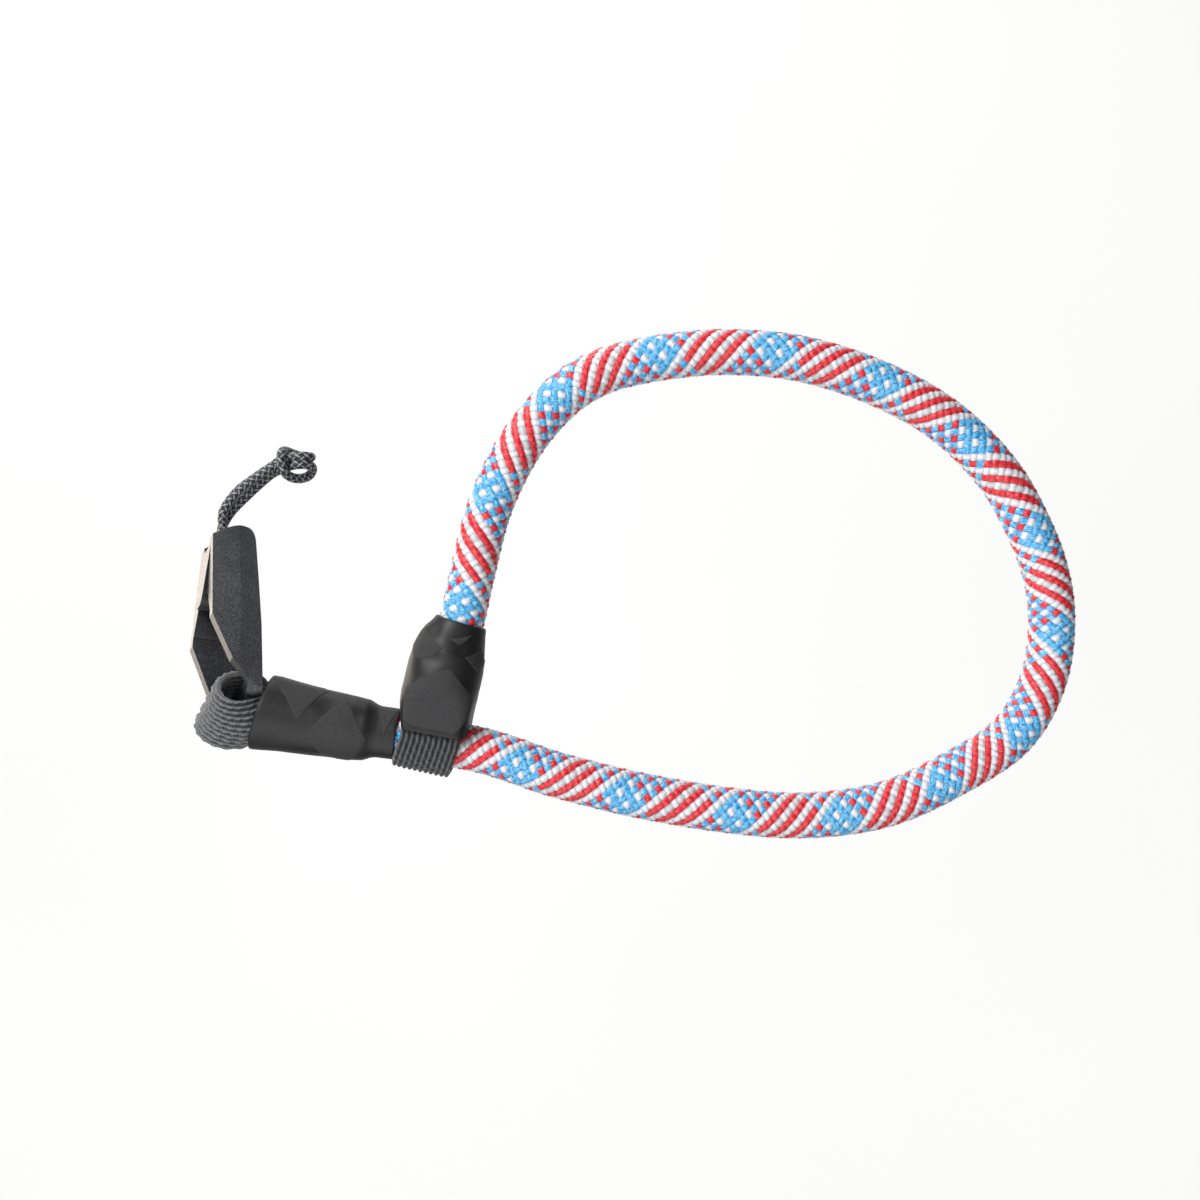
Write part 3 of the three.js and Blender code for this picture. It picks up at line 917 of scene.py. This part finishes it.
@dataclass
class AnchorCord:
    """The thin braided cord that closes round the camera's ring in a hitch."""

    diameter: float = 2.2 * MM
    pitch: float = 6.6 * MM
    strand_crown: float = 0.10 * MM
    strand_arch: float = 0.03 * MM
    fineness: int = 3
    path_step: int = 4  # of the route's points, how many lie between two that are declared
    route: Route = field(default_factory=lambda: Route(CORD_ROUTE, (0.0, -1.0, 0.0)))

    def build(self) -> None:
        braid = Braid(
            route=self.route,
            radius=self.diameter / 2,
            pitch=self.pitch,
            forward=charted(CORD_CHART_FORWARD),
            back=charted(CORD_CHART_BACK),
            crown=self.strand_crown,
            arch=self.strand_arch,
            fineness=self.fineness,
        )
        cord = braid.build("anchor_cord_braid", 0, self.route.length)
        keep_with(cord, "cord", "anchor_cord")


@dataclass
class RopeEnd:
    """One end of the rope, as its collar and its webbing see it. Reach counts from the end into the rope, and
    is below 0 past the end. The across and out directions are turned about the axis. At a turn of 0, out points
    away from the viewer."""

    route: Route
    place: float  # of the end along the route
    inward: int  # 1 at the rope's first end, -1 at its other end
    turn: float  # in degrees

    def frames(self, reach: np.ndarray) -> tuple[np.ndarray, np.ndarray, np.ndarray, np.ndarray]:
        """Reads the rope's route near this end.

        Args:
            reach: how far into the rope, in metres.

        Returns:
            The points, and the along, across and out directions, a row for each reach.
        """
        points, along, normals, _ = self.route.frames(self.place + self.inward * np.asarray(reach, float))
        away = -normals
        side = np.cross(away, along)
        angle = math.radians(self.turn)
        out = away * math.cos(angle) - side * math.sin(angle)
        return points, along, np.cross(out, along), out


@dataclass
class FoldedWebbing:
    """Thick ribbed webbing whose two tails lie beside the rope's end. Past that end it folds round a middle.
    Each rib's threads float over and dive under in turn, and neighbouring ribs do so out of step."""

    name: str
    node: str
    end: RopeEnd
    tail: float  # how far the tails lie beside the rope
    start: float  # how far past the end the fold starts
    mouth: float  # how far past the end the collar reaches
    open: float  # share of the tails' curl that is left at the mouth
    middle: tuple[float, float, float]  # of the fold
    direction: tuple[float, float, float]  # of its width, at the fold
    tail_radius: float  # from the rope's axis to the middle of a tail
    fold_radius: float  # from the fold's middle to the middle of the webbing
    painted_highlight: str  # painted highlight colour of the ribs' crowns
    width: float = 12.8 * MM
    thickness: float = 1.7 * MM
    ribs: int = 11
    rib_depth: float = 0.32 * MM
    knot_length: float = 2.0 * MM  # of one thread's float along a rib
    knot_depth: float = 0.21 * MM
    knot_shift: float = 2.4  # from one rib's floats to the next's, in radians
    wander: float = 0.9  # how far the floats stray from their even places, in radians
    wander_length: float = 2.3 * MM
    wander_shift: float = 2.1
    rib_points: int = 6
    rib_roundness: float = 0.8
    edge_power: int = 16  # the higher, the squarer the webbing's edges
    tail_stations: int = 24
    fold_stations: int = 42
    step: float = 0.2 * MM

    def stations(self) -> tuple[np.ndarray, np.ndarray, np.ndarray, np.ndarray]:
        """Follows the strip from one tail, round its fold, to the other tail.

        Returns:
            Its centres, width directions, outward directions and curls, evenly along it.
        """
        reach = np.linspace(self.tail, -self.start, self.tail_stations)
        point, _, across, out = self.end.frames(reach)
        curl = 1 + (self.open - 1) * smoothstep(-reach, 0, self.mouth / 2)
        front = (point - out * self.tail_radius, across, -out, curl)
        back = tuple(v[::-1] for v in (point + out * self.tail_radius, across, out, curl))

        point, along, across, out = (v[0] for v in self.end.frames(np.array([-self.start])))
        wide = unit(np.array(self.direction))
        wide = wide * np.sign(np.dot(wide, across))
        angle = np.linspace(0, math.pi, self.fold_stations)[1:-1, None]
        share = np.sin(angle)
        width = unit(across * (1 - share) + wide * share)
        outward = -out * np.cos(angle) - along * self.end.inward * share
        outward = unit(outward - width * np.sum(outward * width, axis=1, keepdims=True))
        radius = self.tail_radius + (self.fold_radius - self.tail_radius) * share
        place = point * (1 - share) + np.array(self.middle) * share + outward * radius
        bend = (place, width, outward, self.open * (1 - share[:, 0]) ** 2)

        centre, across, out, curl = (np.concatenate(parts) for parts in zip(front, bend, back))
        walked = np.concatenate([[0], np.cumsum(np.linalg.norm(np.diff(centre, axis=0), axis=1))])
        even = np.linspace(0, walked[-1], round(walked[-1] / self.step))

        def spread(values: np.ndarray) -> np.ndarray:
            """Reads rows of numbers at even steps along the strip."""
            return np.stack([np.interp(even, walked, values[:, i]) for i in range(3)], axis=-1)

        return spread(centre), unit(spread(across)), unit(spread(out)), np.interp(even, walked, curl)

    def relief(self, run: np.ndarray, share: np.ndarray) -> np.ndarray:
        """Works out the ribs and their floats.

        Args:
            run: how far along the strip, in metres.
            share: how far across it, from -0.5 to 0.5 of its width.

        Returns:
            How far the surface stands off the plain strip, a row for each place along it.
        """
        place = (share + 0.5) * self.ribs
        number = np.floor(place)
        rib = np.abs(np.cos(math.pi * self.ribs * share)) ** self.rib_roundness
        wander = self.wander * np.sin(run[:, None] / self.wander_length + self.wander_shift * number)
        slant = math.pi * (place - number)
        turns = 2 * math.pi * run[:, None] / self.knot_length
        knots = np.cos(turns + self.knot_shift * number + wander + slant)
        return self.rib_depth * (rib - 0.5) + self.knot_depth * knots * rib

    def build(self) -> bpy.types.Object:
        """Builds the strip with its ribs, closed at both ends.

        Returns:
            The strip.
        """
        centre, across, out, curl = self.stations()
        count = len(centre)
        run = np.arange(count) * self.step
        share = np.linspace(-0.5, 0.5, self.ribs * self.rib_points + 1)
        along = np.gradient(centre, axis=0)
        sign = np.sign(np.sum(np.cross(along, out) * across, axis=1))
        edge = np.sqrt(np.clip(1 - np.abs(2 * share) ** self.edge_power, 0, 1))
        relief = self.relief(run, share)
        top = (self.thickness / 2 + relief) * edge
        bottom = -(self.thickness / 2 + 0.5 * relief) * edge
        radius = self.tail_radius / np.maximum(curl, 1e-3)
        sheets = []
        for height in (top, bottom[:, ::-1]):
            across_share = share if height is top else share[::-1]
            side = across_share[None, :] * self.width * sign[:, None]
            bent = radius[:, None] + height
            sheets.append(
                centre[:, None, :]
                + across[:, None, :] * (bent * np.sin(side / radius[:, None]))[..., None]
                + out[:, None, :] * (bent * np.cos(side / radius[:, None]) - radius[:, None])[..., None]
            )
        ring = np.concatenate(sheets, axis=1)
        around = ring.shape[1]
        place = np.concatenate([share, share[::-1]]) * self.width / MM
        faces, uv = closed_tube_faces(count, around, place, run / MM)
        rib_mm = self.width / self.ribs / MM
        # The crowns' colour is a painted highlight.
        finish = RibbedWebbing(name=f"{self.name}_nylon", crown=self.painted_highlight, rib_mm=rib_mm).make()
        piece = new_piece(self.name, ring.reshape(-1, 3), faces, [finish], uv=uv)
        return keep_with(piece, "webbing", self.node)


def closed_tube_faces(
    count: int, around: int, across: np.ndarray, along: np.ndarray
) -> tuple[list[tuple[int, ...]], np.ndarray]:
    """Joins rings of points into a tube that is closed at both ends.

    Args:
        count: how many rings there are.
        around: how many points each has.
        across: the first map coordinate of each point of a ring.
        along: the second map coordinate of each ring.

    Returns:
        The faces, and the map coordinates of their corners.
    """
    ring = np.repeat(np.arange(count - 1), around)
    spot = np.tile(np.arange(around), count - 1)
    following = (spot + 1) % around
    low = ring * around
    quads = np.stack([low + spot, low + following, low + around + following, low + around + spot], axis=1)
    u = np.stack([across[spot], across[following], across[following], across[spot]], axis=1)
    v = np.stack([along[ring], along[ring], along[ring + 1], along[ring + 1]], axis=1)
    faces = quads.tolist()
    faces.append(list(range(around))[::-1])
    faces.append(list(range((count - 1) * around, count * around)))
    first = np.stack([across[::-1], np.full(around, along[0])], axis=1)
    last = np.stack([across, np.full(around, along[-1])], axis=1)
    return faces, np.concatenate([np.stack([u, v], axis=-1).reshape(-1, 2), first, last])


class Section(NamedTuple):
    """One section of a sleeve's outside, in millimetres."""

    reach: float
    half_width: float
    half_depth: float


class Dent(NamedTuple):
    """One soft dent in a sleeve, or a bulge where its depth is below 0, in millimetres and degrees."""

    reach: float
    angle: float
    depth: float
    size: float


@dataclass
class ShrunkCollar:
    """A heat-shrunk sleeve along the rope's end, open at both ends, with raised matt pads. Angles run round it
    from one side, and 90 is its out direction."""

    name: str
    node: str
    end: RopeEnd
    mouth: float  # from the rope's end out to the sleeve's mouth
    neck: float  # from the rope's end in to its other end
    profile: list[Section]
    squareness: float  # of the mouth: 2 is an ellipse
    slant: float  # of the mouth, along the rope for each millimetre up
    pads: list[list[tuple[float, float]]]  # corners of each pad: reach in mm and angle in degrees
    dents: list[Dent]
    mean_radius: float = 7.6 * MM
    wall: float = 0.5 * MM
    rim: tuple[float, ...] = (0.25, 0.07, 0.0)  # how far each outermost ring draws in, as shares of the wall
    rings: int = 90
    sides: int = 96
    lift: float = 0.11 * MM  # of a pad off the sleeve
    skirt: float = 0.08 * MM  # how deep a pad's edge sinks in
    pad_side_points: int = 10
    pad_rings: int = 9

    def surface(self, reach: np.ndarray, angle: np.ndarray, lift: np.ndarray | float) -> np.ndarray:
        """Returns points on the sleeve's outside, or lifted off it.

        Args:
            reach: how far each point is from the rope's end.
            angle: where it is round the sleeve, in radians.
            lift: how far it stands off the outside.

        Returns:
            A row of X, Y and Z for each point.
        """
        point, along, across, out = self.end.frames(reach)
        table = np.array(self.profile) * MM
        half = np.interp(reach, table[:, 0], table[:, 1])
        face = np.interp(reach, table[:, 0], table[:, 2])
        near = 1 - smoothstep(reach, -self.mouth / 2, 0)
        boxy = 1 - smoothstep(reach, -self.mouth, 0.9 * self.mouth)
        power = 2 / (2 + (self.squareness - 2) * boxy)
        dent = np.zeros_like(reach)
        for one in self.dents:
            turned = np.radians((np.degrees(angle) - one.angle + 180) % 360 - 180)
            away = np.hypot(reach / MM - one.reach, turned * self.mean_radius / MM)
            dent = dent + one.depth * MM * np.exp(-((away / one.size) ** 2))
        stands = lift - dent
        nothing = 1e-6
        cosine = np.where(np.abs(np.cos(angle)) < nothing, 0, np.cos(angle))
        sine = np.where(np.abs(np.sin(angle)) < nothing, 0, np.sin(angle))
        wide = (half + stands) * np.sign(cosine) * np.abs(cosine) ** power
        deep = (face + stands) * np.sign(sine) * np.abs(sine) ** power
        placed = point - across * (self.end.inward * wide)[:, None] + out * deep[:, None]
        lean = self.slant * near * (placed[:, 2] - point[:, 2])
        return placed + along * lean[:, None]

    def sleeve(self) -> bpy.types.Object:
        """Builds the sleeve, with a rounded rim at each end.

        Returns:
            The sleeve.
        """
        reach = np.linspace(-self.mouth, self.neck, self.rings)
        rim = np.array(self.rim) * self.wall
        lifts = np.concatenate([-rim, np.zeros(self.rings - 2 * len(rim)), -rim[::-1]])
        outer = [(r, lift) for r, lift in zip(reach, lifts)]
        inner = [(r, -self.wall - lift) for r, lift in zip(reach, lifts)][::-1]
        loop = outer + inner
        angle = np.linspace(0, 2 * math.pi, self.sides, endpoint=False)
        rows = [self.surface(np.full(self.sides, r), angle, lift) for r, lift in loop]
        vertices = np.concatenate(rows)
        count = len(loop)
        faces = []
        for i in range(count):
            here = i * self.sides
            beside = ((i + 1) % count) * self.sides
            for j in range(self.sides):
                following = (j + 1) % self.sides
                faces.append((here + j, beside + j, beside + following, here + following))
        piece = new_piece(self.name, vertices, faces, [ShrunkSleeve().make()])
        return keep_with(piece, "collar", self.node)

    def raised_pads(self) -> bpy.types.Object:
        """Builds the pads, each a thin crisp-edged plate that follows the sleeve.

        Returns:
            The pads as one piece.
        """
        vertices: list[np.ndarray] = []
        faces: list[tuple[int, ...]] = []
        total = 0
        for corners in self.pads:
            pad, pad_faces = self.pad(corners)
            vertices.append(pad)
            faces.extend(tuple(total + i for i in face) for face in pad_faces)
            total += len(pad)
        piece = new_piece(self.name + "_pads", np.concatenate(vertices), faces, [GrainedPad().make()])
        return keep_with(piece, "collar")

    def pad(self, corners: list[tuple[float, float]]) -> tuple[np.ndarray, list[tuple[int, ...]]]:
        """Builds one pad as rings that shrink from its outline to its middle, with a skirt that sinks in.

        Args:
            corners: the reach in millimetres and the angle in degrees of each corner.

        Returns:
            The pad's points, and the point numbers of its faces.
        """
        flat = np.array(corners, float)
        steps = np.linspace(0, 1, self.pad_side_points, endpoint=False)[:, None]
        outline = np.concatenate([a + (b - a) * steps for a, b in zip(flat, np.roll(flat, -1, axis=0))])
        middle = flat.mean(axis=0)
        count = len(outline)
        rows = [(1.015, -self.skirt), (1.0, 0.8 * self.lift), (0.97, self.lift)]
        rows += [(share, self.lift) for share in np.linspace(0.85, 0.12, self.pad_rings)]
        placed = []
        for share, lift in rows:
            ring = middle + (outline - middle) * share
            placed.append(self.surface(ring[:, 0] * MM, np.radians(ring[:, 1]), lift))
        placed.append(self.surface(middle[:1] * MM, np.radians(middle[1:]), self.lift))
        faces: list[tuple[int, ...]] = []
        for i in range(len(rows) - 1):
            for j in range(count):
                k = (j + 1) % count
                faces.append((i * count + j, i * count + k, (i + 1) * count + k, (i + 1) * count + j))
        last = (len(rows) - 1) * count
        faces.extend((last + j, last + (j + 1) % count, last + count) for j in range(count))
        return np.concatenate(placed), faces

    def build(self) -> None:
        """Builds the sleeve and its pads."""
        self.sleeve()
        self.raised_pads()


@dataclass
class QuickConnector:
    """The moulded connector, with its edges eased as a mould leaves them, and the cord's button inside."""

    edge_radius: float = 0.22 * MM
    edge_segments: int = 3
    sharp: float = math.radians(11)  # a fold that is sharper than this is an edge
    flat: float = math.radians(0.6)  # a fold that is less sharp is no fold
    same_place: float = 0.002 * MM

    def housing(self) -> bpy.types.Object:
        """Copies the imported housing, joins its flat faces and eases its edges.

        Returns:
            The housing.
        """
        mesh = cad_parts["connector"].data.copy()
        mesh.materials.clear()
        mesh.materials.append(GlassFilledNylon("glass_filled_nylon", "#2A2B2E", "#444549", "#616367").make())
        shape = bmesh.new()
        shape.from_mesh(mesh)
        bmesh.ops.remove_doubles(shape, verts=shape.verts, dist=self.same_place)
        bmesh.ops.dissolve_limit(shape, angle_limit=self.flat, verts=shape.verts, edges=shape.edges)
        shape.to_mesh(mesh)
        shape.free()
        mesh.polygons.foreach_set("use_smooth", np.ones(len(mesh.polygons), bool))
        piece = bpy.data.objects.new("connector_housing", mesh)
        bpy.context.scene.collection.objects.link(piece)
        ease = piece.modifiers.new("eased_edges", "BEVEL")
        ease.width = self.edge_radius
        ease.segments = self.edge_segments
        ease.limit_method = "ANGLE"
        ease.angle_limit = self.sharp
        ease.use_clamp_overlap = True
        even = piece.modifiers.new("even_faces", "WEIGHTED_NORMAL")
        even.keep_sharp = False
        return keep_with(piece, "connector", "connector")

    def button(self) -> None:
        """Gives the cord's button its finish."""
        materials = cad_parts["anchor_button"].data.materials
        materials.clear()
        materials.append(GlassFilledNylon("button_nylon", "#141415", "#1E1F20", "#2C2D2F").make())

    def build(self) -> None:
        """Builds the housing and dresses the button."""
        self.housing()
        self.button()


class Lamp(NamedTuple):
    """A square soft light: its place and side in metres, its power in watts and its sRGB colour."""

    name: str
    place: tuple[float, float, float]
    side: float
    power: float
    colour: str = "#FFFFFF"


@dataclass
class Studio:
    """A glowing white panel, a camera square to the noose and soft lights."""

    camera_place: tuple[float, float, float] = (0.0672, -0.368, -0.0303)
    focal_mm: float = 48.83
    frame_mm: float = 36.0
    panel_y: float = 0.55
    panel_half_width: float = 0.75
    panel_half_height: float = 0.6
    aim: tuple[float, float, float] = (0.07, 0.0, -0.03)  # the lamps face the noose's middle
    lamps: tuple[Lamp, ...] = (
        Lamp("key_above_left", (-0.52, -0.72, 0.55), 0.40, 10.8),
        Lamp("overhead", (-0.14, 0.18, 0.72), 0.5, 3.2),
        Lamp("fill_front", (0.1, -1.2, -0.1), 0.9, 2.0),
        Lamp("fill_below", (-0.1, -0.55, -0.70), 1.1, 7.3),
        Lamp("warm_left", (-0.33, 0.26, 0.0), 0.3, 1.15, "#FFF1DE"),
    )
    air: str = "#F2F3F5"
    air_strength: float = 0.12

    def camera(self) -> None:
        """Adds the camera, level and looking along +Y."""
        data = bpy.data.cameras.new("camera")
        data.lens = self.focal_mm
        data.sensor_width = self.frame_mm
        data.clip_start = 0.01
        view = bpy.data.objects.new("camera", data)
        view.location = self.camera_place
        view.rotation_euler = (math.radians(90), 0, 0)
        bpy.context.scene.collection.objects.link(view)
        bpy.context.scene.camera = view

    def panel(self) -> None:
        """Adds the glowing panel behind the strap."""
        wide = self.panel_half_width
        tall = self.panel_half_height
        corners = [(-wide, -tall), (wide, -tall), (wide, tall), (-wide, tall)]
        vertices = np.array([(self.camera_place[0] + x, self.panel_y, z) for x, z in corners])
        new_piece("studio_panel", vertices, [(0, 1, 2, 3)], [OpalPanel().make()])

    def hang(self, lamp: Lamp) -> None:
        """Adds a lamp that faces the strap.

        Args:
            lamp: the lamp.
        """
        data = bpy.data.lights.new(lamp.name, "AREA")
        data.size = lamp.side
        data.energy = lamp.power
        data.color = linear(lamp.colour)[:3]
        light = bpy.data.objects.new(lamp.name, data)
        light.location = lamp.place
        aim = Vector(self.aim) - Vector(lamp.place)
        light.rotation_euler = aim.to_track_quat("-Z", "Y").to_euler()
        bpy.context.scene.collection.objects.link(light)

    def light(self) -> None:
        """Adds the lamps and the pale surroundings."""
        for lamp in self.lamps:
            self.hang(lamp)
        world = bpy.data.worlds.new("studio_air")
        world.use_nodes = True
        background = world.node_tree.nodes["Background"]
        background.inputs["Color"].default_value = linear(self.air)
        background.inputs["Strength"].default_value = self.air_strength
        bpy.context.scene.world = world
        bpy.context.scene.view_settings.view_transform = "Standard"


def anchor_pieces(end: RopeEnd) -> list[FoldedWebbing | ShrunkCollar]:
    """Sizes the webbing and the collar that hold the connector to the rope's first end.

    Args:
        end: the rope's first end.

    Returns:
        The webbing and the collar, not yet built.
    """
    mouth = 10.8 * MM
    webbing = FoldedWebbing(
        name="anchor_webbing_ribbed",
        node="anchor_webbing",
        end=end,
        tail=8 * MM,
        start=mouth,
        mouth=mouth,
        open=1.0,
        middle=(-0.0100, -0.0187, -0.0556),
        direction=(-0.47, 0.56, -0.68),
        tail_radius=5.75 * MM,
        fold_radius=7.3 * MM,
        painted_highlight="#6C6D70",
        width=14.0 * MM,
    )
    collar = ShrunkCollar(
        name="anchor_collar_sleeve",
        node="anchor_collar",
        end=end,
        mouth=mouth,
        neck=18.9 * MM,
        profile=[
            Section(-10.8, 8.3, 8.3),
            Section(-9, 8.15, 8.15),
            Section(-5, 7.7, 7.7),
            Section(0, 7.35, 7.35),
            Section(5, 7.15, 7.15),
            Section(9, 6.9, 6.9),
            Section(12, 6.55, 6.55),
            Section(13.6, 5.8, 5.8),
            Section(14.6, 5.55, 5.55),
            Section(18.9, 5.5, 5.5),
        ],
        squareness=2.0,
        slant=0.14,
        pads=[
            [(-10.3, 13), (2.8, 17), (-1.9, -54)],
            [(7.1, 4), (13.1, -73), (8.1, -158), (0.2, -76)],
            [(13.9, 12), (18.4, 6), (16.4, -57)],
            [(-9.6, 42), (1.6, 40), (-3.4, 104)],
            [(6.4, 42), (12.0, 110), (6.2, 176), (-0.6, 112)],
            [(-9.4, 128), (-2.2, 150), (-8.8, 188)],
        ],
        dents=[
            Dent(-7, -100, 0.35, 3.5),
            Dent(3.5, -20, 0.3, 2.5),
            Dent(10, -40, 0.25, 2.0),
            Dent(5, -130, 0.3, 2.5),
            Dent(2, 120, 0.4, 3.5),
        ],
    )
    return [webbing, collar]


def keeper_pieces(end: RopeEnd) -> list[FoldedWebbing | ShrunkCollar]:
    """Sizes the webbing and the collar that close the noose at the rope's other end.

    Args:
        end: the rope's other end.

    Returns:
        The webbing and the collar, not yet built.
    """
    mouth = 6.2 * MM
    webbing = FoldedWebbing(
        name="keeper_webbing_ribbed",
        node="keeper_webbing",
        end=end,
        tail=11 * MM,
        start=8.2 * MM,
        mouth=mouth,
        open=0.0,
        middle=(0.0301, -0.018, -0.0603),
        direction=(0.975, 0.0, -0.222),
        tail_radius=6.05 * MM,
        fold_radius=5.95 * MM,
        painted_highlight="#4B4C4F",
    )
    collar = ShrunkCollar(
        name="keeper_collar_sleeve",
        node="keeper_collar",
        end=end,
        mouth=mouth,
        neck=18.2 * MM,
        profile=[
            Section(-6.2, 6.75, 8.2),
            Section(-4, 7.2, 8.1),
            Section(-1, 7.7, 7.95),
            Section(2, 8.1, 7.8),
            Section(5, 8.2, 7.75),
            Section(8, 8.15, 7.7),
            Section(11, 7.85, 7.5),
            Section(13.5, 7.25, 7.0),
            Section(15.5, 6.5, 6.3),
            Section(17, 5.9, 5.85),
            Section(18.2, 5.6, 5.6),
        ],
        squareness=9.0,
        slant=0.0,
        pads=[
            [(8.2, 259), (2.2, 210), (-0.8, 212), (-5.3, 260), (-4.1, 297), (2.7, 325)],
            [(11.4, 362), (16.0, 374), (11.9, 280), (9.3, 296), (8.5, 325)],
            [(11.5, 239), (14.7, 207), (11.9, 176), (8.8, 214)],
            [(14.2, 276), (16.6, 236), (13.7, 254)],
            [(8.2, 84), (1.6, 36), (-4.2, 66), (-4.8, 112), (2.6, 146)],
            [(11.6, 60), (16.2, 92), (11.8, 124)],
            [(9.4, 138), (14.6, 150), (9.8, 162)],
        ],
        dents=[
            Dent(-1.0, 0, -0.35, 6),
            Dent(-1.0, 180, 0.3, 6),
            Dent(-6.2, 0, 0.7, 4.5),
            Dent(-6.2, 180, -0.7, 4.5),
            Dent(9.5, -70, 0.5, 2.2),
            Dent(14.6, -52, 0.35, 1.6),
            Dent(3.5, -30, 0.35, 2.4),
            Dent(13.0, -110, 0.3, 2.0),
            Dent(5.0, 60, 0.4, 3.0),
        ],
    )
    return [webbing, collar]


def main() -> None:
    """Builds the strap and its studio."""
    logging.basicConfig(level=logging.INFO, format="%(name)s: %(message)s")
    studio = Studio()
    studio.camera()
    AnchorCord().build()
    rope = ClimbingRope()
    rope.build()
    first = RopeEnd(rope.route, 0.0, 1, turn=32.0)
    second = RopeEnd(rope.route, rope.route.length, -1, turn=0.0)
    QuickConnector().build()
    for piece in anchor_pieces(first) + keeper_pieces(second):
        piece.build()
    studio.panel()
    studio.light()


if __name__ == "__main__":
    main()
